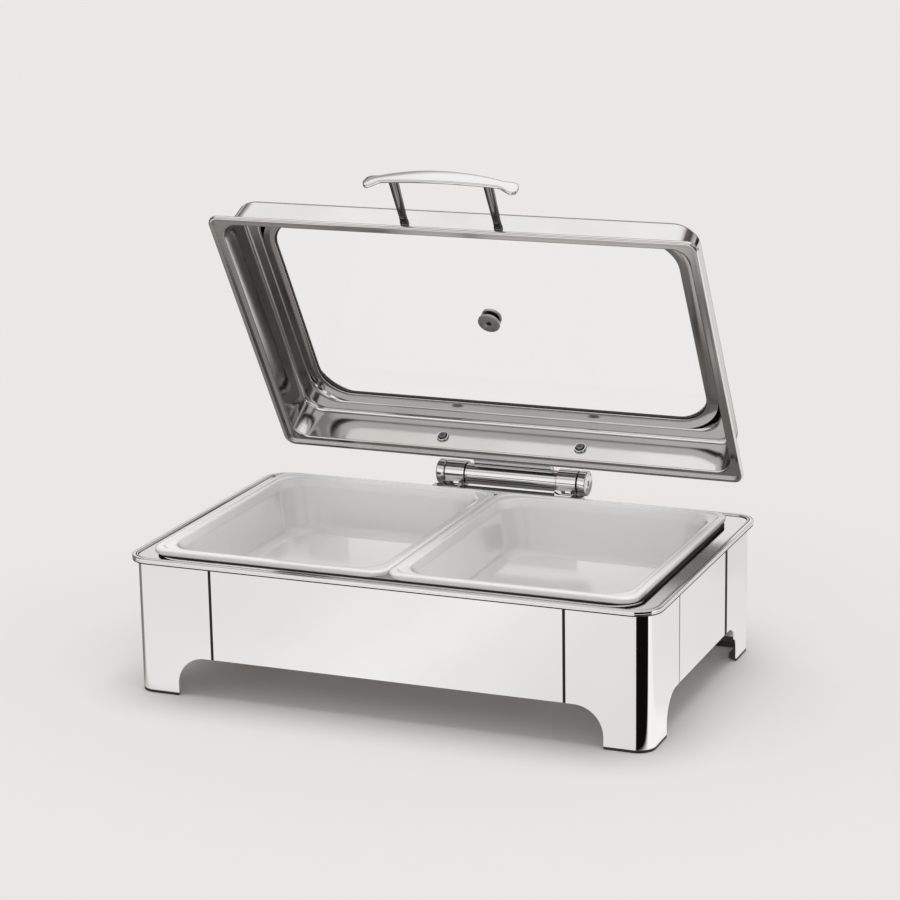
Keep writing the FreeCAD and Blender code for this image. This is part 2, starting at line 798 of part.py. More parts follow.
def makeHanger(name, side):
    tab_end = f"({box_y} - wall - seat_gap)"
    tab_low = "(arch_top + wall)"
    low = f"({shelf_z} - hanger_thickness)"
    outline = [
        corner(f"-{tab_end}", tab_low),
        corner(f"-{hanger_y}", tab_low),
        corner(f"-{hanger_y}", low),
        corner(hanger_y, low),
        corner(hanger_y, tab_low),
        corner(tab_end, tab_low),
        corner(tab_end, f"{tab_low} + hanger_thickness"),
        corner(f"{hanger_y} - hanger_thickness", f"{tab_low} + hanger_thickness"),
        corner(f"{hanger_y} - hanger_thickness", shelf_z),
        corner(f"hanger_thickness - {hanger_y}", shelf_z),
        corner(f"hanger_thickness - {hanger_y}", f"{tab_low} + hanger_thickness"),
        corner(f"-{tab_end}", f"{tab_low} + hanger_thickness"),
    ]
    middle = f"{side} * {hanger_x}"
    keep(prism(name, "YZ", outline, f"{middle} - hanger_width / 2", f"{middle} + hanger_width / 2"), name)


def makeShelf():
    outline = ringOutline(shelf_x, "shelf_half_depth", "shelf_corner")
    body = prism("burner_shelf", "XY", outline, shelf_z, shelf_top)
    pins = [circle(f"{side} * {cup_x}", "cover_pin_offset", "cover_pin_radius") for side in (-1, 1)]
    addPocket(body, "XY", pins, shelf_z, shelf_top)
    outer = [circle(f"{side} * {cup_x}", "0", "cup_radius + seat_gap + wall") for side in (-1, 1)]
    inner = [circle(f"{side} * {cup_x}", "0", "cup_radius + seat_gap") for side in (-1, 1)]
    addPad(body, "XY", outer, shelf_top, f"{shelf_top} + cup_ring_height")
    addPocket(body, "XY", inner, shelf_top, f"{shelf_top} + cup_ring_height")
    keep(body, "burner_shelf")


def makeBurnerCup(name, side):
    outline = [
        corner("0", "0"),
        corner("cup_radius", "0"),
        corner("cup_radius", "cup_height"),
        corner("cup_radius - cup_wall", "cup_height"),
        corner("cup_radius - cup_wall", "cup_wall"),
        corner("0", "cup_wall"),
    ]
    point = FreeCAD.Vector(side * value(cup_x), 0, value(cup_low))
    keep(turned(name, outline), name, FreeCAD.Placement(point, FreeCAD.Rotation()))


cover_low = f"({shelf_z} + wall + cup_height + seat_gap)"


# The cover is a disc with an eye that turns on a pin behind the cup
def makeBurnerCover(name, side):
    middle = f"{side} * {cup_x}"
    high = f"{cover_low} + cover_thickness"
    body = prism(name, "XY", [circle(middle, "0", "cover_radius")], cover_low, high)
    addPad(body, "XY", [circle(middle, "cover_pin_offset", "cover_eye_radius")], cover_low, high)
    pin_hole = [circle(middle, "cover_pin_offset", "cover_pin_radius + pin_play")]
    addPocket(body, "XY", pin_hole, cover_low, high)
    keep(body, name)


def makeCoverPin(name, side):
    outline = [
        corner("0", "0"),
        corner("cover_pin_radius", "0"),
        corner("cover_pin_radius", "wall"),
        corner("cover_post_radius", "wall"),
        corner("cover_post_radius", "wall + cup_height"),
        corner("cover_pin_radius", "wall + cup_height"),
        corner("cover_pin_radius", "wall + cup_height + 2 * seat_gap + cover_thickness"),
        corner("cover_cap_radius", "wall + cup_height + 2 * seat_gap + cover_thickness"),
        corner("cover_cap_radius", "wall + cup_height + 2 * seat_gap + 2 * cover_thickness"),
        corner("0", "wall + cup_height + 2 * seat_gap + 2 * cover_thickness"),
    ]
    point = FreeCAD.Vector(side * value(cup_x), value("cover_pin_offset"), value(shelf_z))
    keep(turned(name, outline), name, FreeCAD.Placement(point, FreeCAD.Rotation()))


# Hinge, about an axle along X behind the rim
base_edge = f"({rim_back} - base_lap)"
ring_foot_y = f"({rim_back} - ring_foot_lap)"
ring_foot_z = "(stand_height + ring_foot_rise)"
arm_bottom = f"({hinge_z} + arm_rise)"
arm_top = f"({hinge_z} + arm_rise + arm_thickness)"
plate_end = "(stand_height - base_drop)"
backing_end = "(stand_height - base_drop + backing_height)"
jog_top = "(stand_height - base_jog_drop)"
jog_end = "(stand_height - base_jog_drop - base_jog_height)"
ring_start = "(barrel_half + hinge_gap)"
ring_end = "(barrel_half + hinge_gap + ring_width)"
cap_start = "(barrel_half + 2 * hinge_gap + ring_width)"
cap_end = "(barrel_half + 2 * hinge_gap + ring_width + cap_width)"
axle_half = "(barrel_half + 2 * hinge_gap + ring_width + cap_width / 2)"


def makeBasePlate():
    outer_back = f"({rim_back} + base_rear_gap + base_plate)"
    outline = [
        corner(base_edge, "stand_height"),
        corner(f"{rim_back} + base_rear_gap", "stand_height"),
        corner(f"{rim_back} + base_rear_gap", jog_top),
        corner(box_y, jog_end),
        corner(box_y, plate_end),
        corner(f"{box_y} + base_plate", plate_end),
        corner(f"{box_y} + base_plate", f"{jog_end} - base_plate / 2"),
        corner(outer_back, f"{jog_top} - base_plate / 2"),
        corner(outer_back, "stand_height + base_plate"),
        corner(base_edge, "stand_height + base_plate"),
    ]
    body = prism("hinge_base_plate", "YZ", outline, f"-{cap_end}", cap_end)
    addPocket(body, "XZ", boltHoles(), box_y, f"{box_y} + base_plate")
    keep(body, "hinge_base_plate")


def makeBackingPlate():
    inner = f"({box_y} - wall)"
    outline = [
        corner("-backing_half", plate_end),
        corner("backing_half", plate_end),
        corner("backing_half", backing_end),
        corner("-backing_half", backing_end),
    ]
    body = prism("hinge_backing_plate", "XZ", outline, f"{inner} - base_plate", inner)
    addPocket(body, "XZ", boltHoles(), f"{inner} - base_plate", inner)
    keep(body, "hinge_backing_plate")


def makeHingeBolts():
    bolts = []
    nuts = []
    shank = f"(2 * base_plate + wall + nut_height)"
    seat = f"({box_y} + base_plate)"
    nut_face = f"({box_y} - wall - base_plate - nut_height)"
    for across in boltPlaces():
        start = (across, f"{seat} - {shank}", bolt_z)
        pieces = [
            rod("Shank", "bolt_radius", shank, start, "y"),
            rod("Head", "bolt_head_radius", "bolt_head_height", (across, seat, bolt_z), "y"),
        ]
        bolts.append(fuse("Bolt", pieces))
        nut_at = (across, nut_face, bolt_z)
        blank = rod("Blank", "nut_radius", "nut_height", nut_at, "y")
        thread = rod("Thread", "bolt_radius", "nut_height", nut_at, "y")
        nuts.append(cut("Nut", blank, thread))
    keep(group("hinge_bolts", bolts), "hinge_bolts")
    keep(group("hinge_nuts", nuts), "hinge_nuts")


def alongHinge(side, start):
    turn = FreeCAD.Rotation(FreeCAD.Vector(0, 0, 1), FreeCAD.Vector(side, 0, 0))
    point = FreeCAD.Vector(side * value(start), value(hinge_y), value(hinge_z))
    return FreeCAD.Placement(point, turn)


def makeRing(name, side):
    low, high = (ring_start, ring_end) if side > 0 else (f"-{ring_end}", f"-{ring_start}")
    at = (low, hinge_y, hinge_z)
    shell = rod("RingShell", "ring_radius", "ring_width", at, "x")
    foot = block("RingFoot", (f"{low} + ring_foot_inset", ring_foot_y, "stand_height + base_plate"),
                 (f"{high} - ring_foot_inset", hinge_y, ring_foot_z))
    bore = rod("RingBore", "axle_radius", "ring_width", at, "x")
    keep(cut(name, fuse("RingBlank", [shell, foot]), bore), name)


def makeAxle():
    at = (f"-{axle_half}", hinge_y, hinge_z)
    keep(rod("hinge_axle", "axle_radius", f"2 * {axle_half}", at, "x"), "hinge_axle")


def makeCap(name, side):
    outline = [
        corner("axle_radius", "0"),
        corner("ring_radius - cap_bevel", "0"),
        corner("ring_radius", "cap_bevel"),
        corner("ring_radius", "cap_width - cap_bevel"),
        corner("ring_radius - cap_bevel", "cap_width"),
        corner("cap_recess_radius", "cap_width"),
        corner("cap_recess_radius", "cap_width - cap_recess_depth"),
        corner("0", "cap_width - cap_recess_depth"),
        corner("0", "cap_width / 2"),
        corner("axle_radius", "cap_width / 2"),
    ]
    keep(turned(name, outline), name, alongHinge(side, cap_start))


def sleeve(name, inner, outer, length):
    outline = [
        corner(inner, "0"),
        corner(outer, "0"),
        corner(outer, length),
        corner(inner, length),
    ]
    return turned(name, outline)


def makeHingeInsides():
    rotor = sleeve("damper_rotor", "axle_radius", "barrel_bore - running_play", "2 * rotor_half")
    keep(rotor, "damper_rotor", alongHinge(1, "-rotor_half"))
    for name, side in (("lift_spring_left", -1), ("lift_spring_right", 1)):
        spring = sleeve(name, "axle_radius + spring_play", "barrel_bore - spring_play", "spring_length")
        keep(spring, name, alongHinge(side, "spring_start"))
    for name, side in (("hinge_bush_left", -1), ("hinge_bush_right", 1)):
        bush = sleeve(name, "axle_radius + running_play", "barrel_bore", "bush_length")
        keep(bush, name, lidOpen().multiply(alongHinge(side, "barrel_half - bush_length")))


# Lid, drawn closed and swung open about the hinge axle
bend_share = f"{math.sin(math.radians(45)):.4f}"
shoulder_inset = "(lid_wall_inset + lid_wall_lean + lid_bend)"
riser_inset = "(lid_wall_inset + lid_wall_lean + lid_bend + lid_shoulder)"
wall_top = "(lid_flange_low + lid_wall_height)"
shoulder_level = "(lid_flange_low + lid_wall_height + lid_bend)"
ring_inset = "(lid_wall_inset + lid_wall_lean + lid_bend + lid_shoulder + lid_riser_lean)"
window_inset = "(lid_wall_inset + lid_wall_lean + lid_bend + lid_shoulder + lid_riser_lean + lid_ring_width)"
riser_level = f"({shoulder_level} + lid_shoulder_rise)"
dome_top = f"({shoulder_level} + lid_shoulder_rise + lid_riser_height)"
glass_top = f"({dome_top} - lid_sheet - gasket_lip)"
glass_low = f"({dome_top} - lid_sheet - gasket_lip - glass_thickness)"
gasket_low = f"({dome_top} - lid_sheet - 2 * gasket_lip - glass_thickness)"
gasket_inset = f"({ring_inset} + lid_sheet + retainer_play)"
retainer_inset = f"({riser_inset} + lid_sheet + 2 * retainer_play)"


def lidOutline(inset, radius):
    return roundRect(f"-({lid_x} - {inset})", f"({lid_centre} - {lid_y} + {inset})",
                     f"({lid_x} - {inset})", f"({lid_centre} + {lid_y} - {inset})", f"({radius})")


def lidLevel(height):
    return f"{lid_base} + {height}"


# The pressed dome, as levels and outlines of its skin: the outer skin, or the inner one a sheet further in
def domeSections(thickness):
    reach = f"(lid_bend - {thickness})"
    return [
        (lidLevel("lid_flange_low"),
         lidOutline(f"(lid_wall_inset + {thickness})", f"lid_wall_corner - {thickness}")),
        (lidLevel(wall_top),
         lidOutline(f"(lid_wall_inset + lid_wall_lean + {thickness})", f"lid_wall_corner - {thickness}")),
        (lidLevel(f"{wall_top} + {bend_share} * {reach}"),
         lidOutline(f"({shoulder_inset} - {bend_share} * {reach})", f"lid_bend_corner - {thickness}")),
        (lidLevel(f"{shoulder_level} - {thickness}"), lidOutline(shoulder_inset, "lid_shoulder_corner")),
        (lidLevel(f"{riser_level} - {thickness}"),
         lidOutline(f"({riser_inset} + {thickness})", "lid_ring_corner - lid_riser_lean")),
        (lidLevel(f"{dome_top} - {thickness}"),
         lidOutline(f"({ring_inset} + {thickness})", f"lid_ring_corner - {thickness}")),
    ]


def addDome(body):
    addLoft(body, domeSections("0"), "Additive")
    addLoft(body, domeSections("lid_sheet"), "Subtractive")
    window = lidOutline(window_inset, "window_corner")
    addPocket(body, "XY", window, lidLevel(f"{dome_top} - lid_sheet"), lidLevel(dome_top))


def makeLidShell():
    body = newBody("LidShellBlank")
    low = lidLevel("0")
    high = lidLevel("lid_bead")
    addPad(body, "XY", lidOutline("0", "lid_corner"), low, high)
    addPocket(body, "XY", lidOutline("lid_bead", "lid_corner - lid_bead"), low, high)
    addFillet(body, "lid_bead_round", edgesAt(high, f"{lid_x} - lid_bead / 2", "outside"))
    addFillet(body, "lid_bead_round", edgesAt(low, f"{lid_x} - lid_bead / 2", "outside"))
    flange_low = lidLevel("lid_flange_low")
    flange_high = lidLevel("lid_flange_low + lid_sheet")
    addPad(body, "XY", lidOutline("lid_bead", "lid_corner - lid_bead"), flange_low, flange_high)
    addDome(body)
    drills = []
    for side in (left, right):
        drills.append(wallRod("ScrewHole", side, "leaf_screw_offset", "leaf_screw_height", rear))
        drills.append(wallRod("PostHole", side, post_offset, "post_height", front))
    keep(cut("lid_shell", body, fuse("WallHoles", drills)), "lid_shell", lidOpen())


# A drill through the lid's wall, square to it
def wallRod(name, side, offset, height, end):
    cylinder = doc.addObject("Part::Cylinder", name)
    bind(cylinder, "Radius", "lid_screw_radius + hole_play")
    bind(cylinder, "Height", "leaf_thickness + lid_screw_reach")
    cylinder.Placement = onLidWall(f"{side} * {offset}", height, "-lid_screw_reach / 2", end, 1)
    return cylinder


def makeWindow():
    pane = lidOutline(f"({gasket_inset} + glass_margin)", "lid_ring_corner - glass_margin")
    low = lidLevel(glass_low)
    high = lidLevel(glass_top)
    body = prism("window_glass", "XY", pane, low, high)
    addPocket(body, "XY", [circle("0", lid_centre, "vent_hole_radius")], low, high)
    keep(body, "window_glass", lidOpen())

    gasket_inner = f"({retainer_inset} + retainer_width + gasket_show)"
    gasket = newBody("glass_gasket")
    seat = lidLevel(gasket_low)
    crown = lidLevel(f"{dome_top} - lid_sheet")
    addPad(gasket, "XY", lidOutline(gasket_inset, "lid_ring_corner - lid_sheet"), seat, crown)
    addPocket(gasket, "XY", lidOutline(gasket_inner, "window_corner"), seat, crown)
    addPocket(gasket, "XY", pane, low, high)
    keep(gasket, "glass_gasket", lidOpen())

    retainer = newBody("glass_retainer")
    under = lidLevel(f"{gasket_low} - retainer_thickness")
    addPad(retainer, "XY", lidOutline(retainer_inset, "lid_ring_corner - lid_riser_lean"), under, seat)
    opening = lidOutline(f"({retainer_inset} + retainer_width)", "window_corner")
    addPocket(retainer, "XY", opening, under, seat)
    keep(retainer, "glass_retainer", lidOpen())


# Vent plug through the glass: a face with a hexagon socket, two seals and a nut on top
def makeVent():
    face_low = f"({glass_low} - vent_inner_seal - vent_face_thickness)"
    nut_low = f"({glass_top} + vent_outer_seal)"

    def atGlass(height):
        point = FreeCAD.Vector(0, value(lid_centre), value(lidLevel(height)))
        return FreeCAD.Placement(point, FreeCAD.Rotation())

    stem_top = f"({nut_low} + vent_nut_height + vent_stem_end - {face_low})"
    plug = turned("vent_plug", [
        corner("0", "0"),
        corner("vent_face_radius - vent_face_bevel", "0"),
        corner("vent_face_radius", "vent_face_bevel"),
        corner("vent_face_radius", "vent_face_thickness"),
        corner("vent_stem_radius", "vent_face_thickness"),
        corner("vent_stem_radius", stem_top),
        corner("0", stem_top),
    ])
    sides = 6
    hexagon = []
    for index in range(sides):
        angle = 2 * math.pi * index / sides
        across = f"{math.cos(angle):.5f} * vent_socket_radius"
        hexagon.append(corner(across, f"{math.sin(angle):.5f} * vent_socket_radius"))
    addPocket(plug, "XY", hexagon, "0", "vent_socket_depth")
    keep(plug, "vent_plug", lidOpen().multiply(atGlass(face_low)))
    inner_seal = sleeve("vent_seal_inner", "vent_stem_radius", "vent_seal_radius", "vent_inner_seal")
    keep(inner_seal, "vent_seal_inner", lidOpen().multiply(atGlass(f"({glass_low} - vent_inner_seal)")))
    outer_seal = sleeve("vent_seal_outer", "vent_stem_radius", "vent_seal_radius", "vent_outer_seal")
    keep(outer_seal, "vent_seal_outer", lidOpen().multiply(atGlass(glass_top)))
    nut = sleeve("vent_nut", "vent_stem_radius", "vent_nut_radius", "vent_nut_height")
    keep(nut, "vent_nut", lidOpen().multiply(atGlass(nut_low)))


# Outer face of the lid's leaning rear wall, as a place along Y at a height above the flange
def wallBack(height):
    lean = f"lid_wall_lean * ({height} - lid_flange_low) / lid_wall_height"
    return f"({lid_centre} + {lid_y} - lid_wall_inset - {lean})"


# The barrel turns on the axle, and its leaf is screwed to the lid's rear wall
def makeLeaf():
    plate = prism("LeafPlate", "YZ", [
        corner(wallBack("leaf_low"), lidLevel("leaf_low")),
        corner(f"{wallBack('leaf_low')} + leaf_thickness", lidLevel("leaf_low")),
        corner(f"{wallBack('leaf_high')} + leaf_thickness", lidLevel("leaf_high")),
        corner(wallBack("leaf_high"), lidLevel("leaf_high")),
    ], "-leaf_half", "leaf_half")
    arm = prism("LeafArm", "YZ", [
        corner(f"{wallBack('leaf_high')} + leaf_thickness / 2", arm_bottom),
        corner(f"{hinge_y} - barrel_radius / 2", f"{hinge_z} + barrel_radius / 3"),
        corner(hinge_y, f"{hinge_z} + barrel_radius"),
        corner(f"{wallBack('leaf_high')} + leaf_thickness / 2", arm_top),
    ], "-arm_half", "arm_half")
    at = ("-barrel_half", hinge_y, hinge_z)
    barrel = rod("Barrel", "barrel_radius", "2 * barrel_half", at, "x")
    drills = [rod("BarrelBore", "barrel_bore", "2 * barrel_half", at, "x")]
    for side in (left, right):
        drill = wallRod("LeafHole", side, "leaf_screw_offset", "leaf_screw_height", rear)
        bind(drill, "Radius", "lid_screw_radius")
        drills.append(drill)
    blank = fuse("LeafBlank", [plate, arm, barrel])
    keep(cut("hinge_barrel_leaf", blank, fuse("LeafHoles", drills)), "hinge_barrel_leaf", lidOpen())


def makeLidScrews():
    screws = []
    washers = []
    for side in (left, right):
        place = onLidWall(f"{side} * leaf_screw_offset", "leaf_screw_height", inner_face, rear, -1)
        end = "-(lid_sheet + leaf_thickness)"
        screw = turned("LidScrew", [
            corner("0", end),
            corner("lid_screw_radius", end),
            corner("lid_screw_radius", "cup_washer_floor"),
            corner("lid_screw_head_radius", "cup_washer_floor"),
            corner("lid_screw_head_radius", "cup_washer_floor + lid_screw_head_height"),
            corner("lid_screw_socket_radius", "cup_washer_floor + lid_screw_head_height"),
            corner("lid_screw_socket_radius", "cup_washer_floor + lid_screw_head_height / 2"),
            corner("0", "cup_washer_floor + lid_screw_head_height / 2"),
        ])
        screw.Placement = place
        screws.append(screw)
        washer = turned("CupWasher", [
            corner("lid_screw_radius + hole_play", "0"),
            corner("cup_washer_radius", "0"),
            corner("cup_washer_radius - cup_washer_taper", "cup_washer_height"),
            corner("cup_washer_radius - cup_washer_rim", "cup_washer_height"),
            corner("lid_screw_head_radius + hole_play", "cup_washer_floor"),
            corner("lid_screw_radius + hole_play", "cup_washer_floor"),
        ])
        washer.Placement = place
        washers.append(washer)
    keep(group("lid_screws", screws), "lid_screws", lidOpen())
    keep(group("cup_washers", washers), "cup_washers", lidOpen())


# Handle: a bowed strap with rounded ends on two posts
grip_y = f"({lid_y} - {lid_centre} + grip_reach)"
grip_arc = "((grip_half_length ^ 2 + grip_bow ^ 2) / (2 * grip_bow))"
grip_neck_at = "(grip_half_length - grip_neck_back)"
grip_lobe_start = "(grip_half_length - grip_lobe_back)"
bow_at_post = f"({grip_arc} - sqrt({grip_arc} ^ 2 - {post_offset} ^ 2))"
post_length = f"(grip_reach + lid_wall_inset - {bow_at_post} - grip_thickness / 2)"


def makeGrip():
    tip = f"-({grip_y} - grip_bow)"
    bow = prism("GripBow", "XY", [
        corner("-grip_half_length", tip),
        bend("grip_half_length", tip, grip_arc),
        corner("grip_half_length", f"{tip} + grip_thickness"),
        bend("-grip_half_length", f"{tip} + grip_thickness", f"{grip_arc} - grip_thickness / 2", -1),
    ], lidLevel("(grip_height - 2 * grip_lobe_half)"), lidLevel("(grip_height + 2 * grip_lobe_half)"))
    middle = f"({lid_base} + grip_height)"
    mid_rise = "(grip_mid_half - grip_neck_half)"
    mid_radius = f"(({grip_neck_at} ^ 2 + {mid_rise} ^ 2) / (2 * {mid_rise}))"

    def high(half):
        return f"{middle} + {half}"

    def low(half):
        return f"{middle} - {half}"

    face = prism("GripFace", "XZ", [
        bend(f"-{grip_neck_at}", low("grip_neck_half"), "grip_neck_radius", -1),
        bend(grip_neck_at, low("grip_neck_half"), mid_radius),
        bend(grip_lobe_start, low("grip_lobe_half"), "grip_neck_radius", -1),
        bend("grip_half_length", middle, "grip_lobe_radius"),
        bend(grip_lobe_start, high("grip_lobe_half"), "grip_lobe_radius"),
        bend(grip_neck_at, high("grip_neck_half"), "grip_neck_radius", -1),
        bend(f"-{grip_neck_at}", high("grip_neck_half"), mid_radius),
        bend(f"-{grip_lobe_start}", high("grip_lobe_half"), "grip_neck_radius", -1),
        bend("-grip_half_length", middle, "grip_lobe_radius"),
        bend(f"-{grip_lobe_start}", low("grip_lobe_half"), "grip_lobe_radius"),
    ], f"-({grip_y} + grip_thickness)", f"-({grip_y} - 2 * grip_bow)")
    grip = doc.addObject("Part::MultiCommon", "handle_grip")
    grip.Shapes = [bow, face]
    keep(grip, "handle_grip", lidOpen())
    shape = doc.addObject("Part::MultiCommon", "GripSeat")
    shape.Shapes = [bow, face]
    return shape


def makePost(name, side, seat):
    post = turned("PostBlank", [
        corner("lid_screw_radius", "0"),
        corner("post_base_radius", "0"),
        corner("post_base_radius", "post_base_thickness"),
        corner("post_neck_radius", "2 * post_base_thickness"),
        corner("post_neck_radius", "post_groove_at"),
        corner("post_neck_radius - post_groove", "post_groove_at + post_groove"),
        corner("post_neck_radius", "post_groove_at + 2 * post_groove"),
        corner("post_top_radius", post_length),
        corner("0", post_length),
        corner("0", "post_hole_depth"),
        corner("lid_screw_radius", "post_hole_depth"),
    ])
    post.Placement = onLidWall(f"{side} * {post_offset}", "post_height", "0", front, 1)
    keep(cut(name, post, seat), name, lidOpen())


def makeHandleScrews():
    screws = []
    for side in (left, right):
        end = "-(lid_sheet + post_hole_depth - seat_gap)"
        screw = turned("HandleScrew", [
            corner("0", end),
            corner("lid_screw_radius", end),
            corner("lid_screw_radius", "0"),
            corner("lid_screw_head_radius", "0"),
            corner("lid_screw_head_radius", "lid_screw_head_height"),
            corner("0", "lid_screw_head_height"),
        ])
        screw.Placement = onLidWall(f"{side} * {post_offset}", "post_height", inner_face, front, -1)
        screws.append(screw)
    keep(group("handle_screws", screws), "handle_screws", lidOpen())


makeLeg(left, front)
makeLeg(right, front)
makeLeg(left, rear)
makeLeg(right, rear)
for foot_side, foot_end in SIDE_NAMES:
    makeRubberFoot(foot_side, foot_end)
makeAprons()
makeSeamStrips()
makeRim()
makeWaterPan()
makeDividerBar()
makeFoodPan("food_pan_left", left)
makeFoodPan("food_pan_right", right)
makeHanger("shelf_hanger_left", left)
makeHanger("shelf_hanger_right", right)
makeShelf()
for part_side, side_name in ((left, "left"), (right, "right")):
    makeBurnerCup(f"burner_cup_{side_name}", part_side)
    makeBurnerCover(f"burner_cover_{side_name}", part_side)
    makeCoverPin(f"cover_pin_{side_name}", part_side)
    makeRing(f"hinge_ring_{side_name}", part_side)
    makeCap(f"hinge_cap_{side_name}", part_side)
makeBasePlate()
makeBackingPlate()
makeHingeBolts()
makeAxle()
makeHingeInsides()
makeLidShell()
makeWindow()
makeVent()
makeLeaf()
makeLidScrews()
grip_seat = makeGrip()
makePost("handle_post_left", left, grip_seat)
makePost("handle_post_right", right, grip_seat)
makeHandleScrews()


def writeParts():
    doc.recompute()
    faults = [item.Label for item in doc.Objects if "Invalid" in item.State or "Error" in item.State]
    for item in subparts:
        if item.Shape.isNull() or not item.Shape.isValid():
            faults.append(item.Label)
    if faults:
        raise RuntimeError("failed objects: " + ", ".join(faults))
    os.makedirs("parts", exist_ok=True)
    for item in subparts:
        item.Shape.exportStep(f"parts/{item.Label}.step")
        box = item.Shape.BoundBox
        print(f"{item.Label:22s} solids {len(item.Shape.Solids)}  volume {item.Shape.Volume:10.1f}"
              f"  X {box.XMin:7.1f} {box.XMax:7.1f}  Y {box.YMin:7.1f} {box.YMax:7.1f}"
              f"  Z {box.ZMin:7.1f} {box.ZMax:7.1f}")
    print(len(subparts), "sub-parts")


writeParts()
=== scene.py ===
import json
import math

import bmesh
import bpy
from mathutils import Matrix, Vector


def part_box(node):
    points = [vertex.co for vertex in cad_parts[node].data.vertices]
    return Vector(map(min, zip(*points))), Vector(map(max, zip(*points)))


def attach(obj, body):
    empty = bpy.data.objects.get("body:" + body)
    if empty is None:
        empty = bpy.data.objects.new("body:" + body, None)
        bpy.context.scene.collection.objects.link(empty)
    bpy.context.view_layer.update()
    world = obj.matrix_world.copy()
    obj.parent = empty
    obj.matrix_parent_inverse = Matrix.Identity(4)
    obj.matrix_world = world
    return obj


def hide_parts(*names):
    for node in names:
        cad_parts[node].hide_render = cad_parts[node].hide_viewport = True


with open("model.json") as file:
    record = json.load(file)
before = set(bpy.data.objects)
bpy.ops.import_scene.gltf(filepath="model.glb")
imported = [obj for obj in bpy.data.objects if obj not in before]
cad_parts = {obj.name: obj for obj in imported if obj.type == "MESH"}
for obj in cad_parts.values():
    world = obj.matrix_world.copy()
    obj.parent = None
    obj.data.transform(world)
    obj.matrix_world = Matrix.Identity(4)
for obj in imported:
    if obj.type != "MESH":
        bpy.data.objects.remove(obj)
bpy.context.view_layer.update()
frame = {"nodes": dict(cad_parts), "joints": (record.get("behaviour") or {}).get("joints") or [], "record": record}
print("frame loaded")

# Glass-lid chafing dish. Sizes in the dictionaries are in millimetres, and meshes are made in metres.
mm = 0.001
scene = bpy.context.scene
bodies = frame["record"]["behaviour"]["bodies"]
bodyOf = {node: body for body, members in bodies.items() for node in members}

# The lid is drawn closed, and this turns it open about its hinge
hinge = next(joint for joint in frame["joints"] if joint["name"] == "lid_hinge")
hingePoint = Vector(hinge["pos_m"])
openTurn = Matrix.Rotation(math.radians(hinge["range_deg"][0]), 4, "X")
lidOpen = Matrix.Translation(hingePoint) @ openTurn @ Matrix.Translation(-hingePoint)


# Lowest and highest corner of a CAD node, in millimetres
def boxOf(node):
    low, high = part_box(node)
    return low / mm, high / mm


# Node trees

def addNode(tree, kind, inputs=None, **settings):
    node = tree.nodes.new(kind)
    for name, setting in settings.items():
        setattr(node, name, setting)
    for key, given in (inputs or {}).items():
        if isinstance(given, bpy.types.NodeSocket):
            tree.links.new(given, node.inputs[key])
        else:
            node.inputs[key].default_value = given
    return node


# The first output of a new node
def output(tree, kind, inputs=None, **settings):
    return addNode(tree, kind, inputs, **settings).outputs[0]


# These put their node in the tree that their values come from
def maths(operation, *values):
    tree = next(value.id_data for value in values if isinstance(value, bpy.types.NodeSocket))
    return output(tree, "ShaderNodeMath", dict(enumerate(values)), operation=operation)


def vectorMaths(operation, first, second):
    node = addNode(first.id_data, "ShaderNodeVectorMath", {0: first, 1: second}, operation=operation)
    return node.outputs["Value" if operation == "DOT_PRODUCT" else "Vector"]


def scaled(vector, factor):
    inputs = {0: vector, "Scale": factor}
    return output(vector.id_data, "ShaderNodeVectorMath", inputs, operation="SCALE")


def product(result, *others):
    for other in others:
        result = maths("MULTIPLY", result, other)
    return result


def mixColour(share, first, second):
    first, second = (end if isinstance(end, bpy.types.NodeSocket) else (*end, 1.0) for end in (first, second))
    inputs = {0: share, 6: first, 7: second}
    return addNode(share.id_data, "ShaderNodeMix", inputs, data_type="RGBA").outputs[2]


def spread(value, low, high, fromLow=0.0, fromHigh=1.0, **settings):
    inputs = {0: value, 1: fromLow, 2: fromHigh, 3: low, 4: high}
    return output(value.id_data, "ShaderNodeMapRange", inputs, **settings)


def noise(vector, scale, detail=3.0, roughness=0.5):
    inputs = {"Vector": vector, "Scale": scale, "Detail": detail, "Roughness": roughness}
    return output(vector.id_data, "ShaderNodeTexNoise", inputs)


def newGroup(name, inputs, outputs, treeKind="ShaderNodeTree"):
    tree = bpy.data.node_groups.new(name, treeKind)
    for way, sockets in (("INPUT", inputs), ("OUTPUT", outputs)):
        for label, kind in sockets.items():
            tree.interface.new_socket(label, in_out=way, socket_type="NodeSocket" + kind)
    return tree, tree.nodes.new("NodeGroupInput"), tree.nodes.new("NodeGroupOutput")


def floats(*labels):
    return dict.fromkeys(labels, "Float")


# Polishing leaves hairlines along one direction, and hands leave soft smudges
def makePolishGroup():
    inputs = {"Vector": "Vector", "Stretch": "Vector",
              **floats("Hairline Scale", "Smudge Scale", "Roughness Low", "Roughness High")}
    outputs = floats("Roughness", "Hairlines", "Waves", "Smudge")
    tree, start, end = newGroup("polishMarks", inputs, outputs)
    given = start.outputs
    along = vectorMaths("MULTIPLY", given["Vector"], given["Stretch"])
    hairlines = noise(along, given["Hairline Scale"], 2.0, 0.6)
    smudge = noise(given["Vector"], given["Smudge Scale"], 4.0, 0.55)
    waves = noise(given["Vector"], 5.0, 1.0, 0.4)
    marked = maths("ADD", product(hairlines, 0.45), product(smudge, 0.55))
    rough = spread(marked, given["Roughness Low"], given["Roughness High"], 0.3, 0.7)
    for label, value in zip(outputs, (rough, hairlines, waves, smudge)):
        tree.links.new(value, end.inputs[label])
    return tree


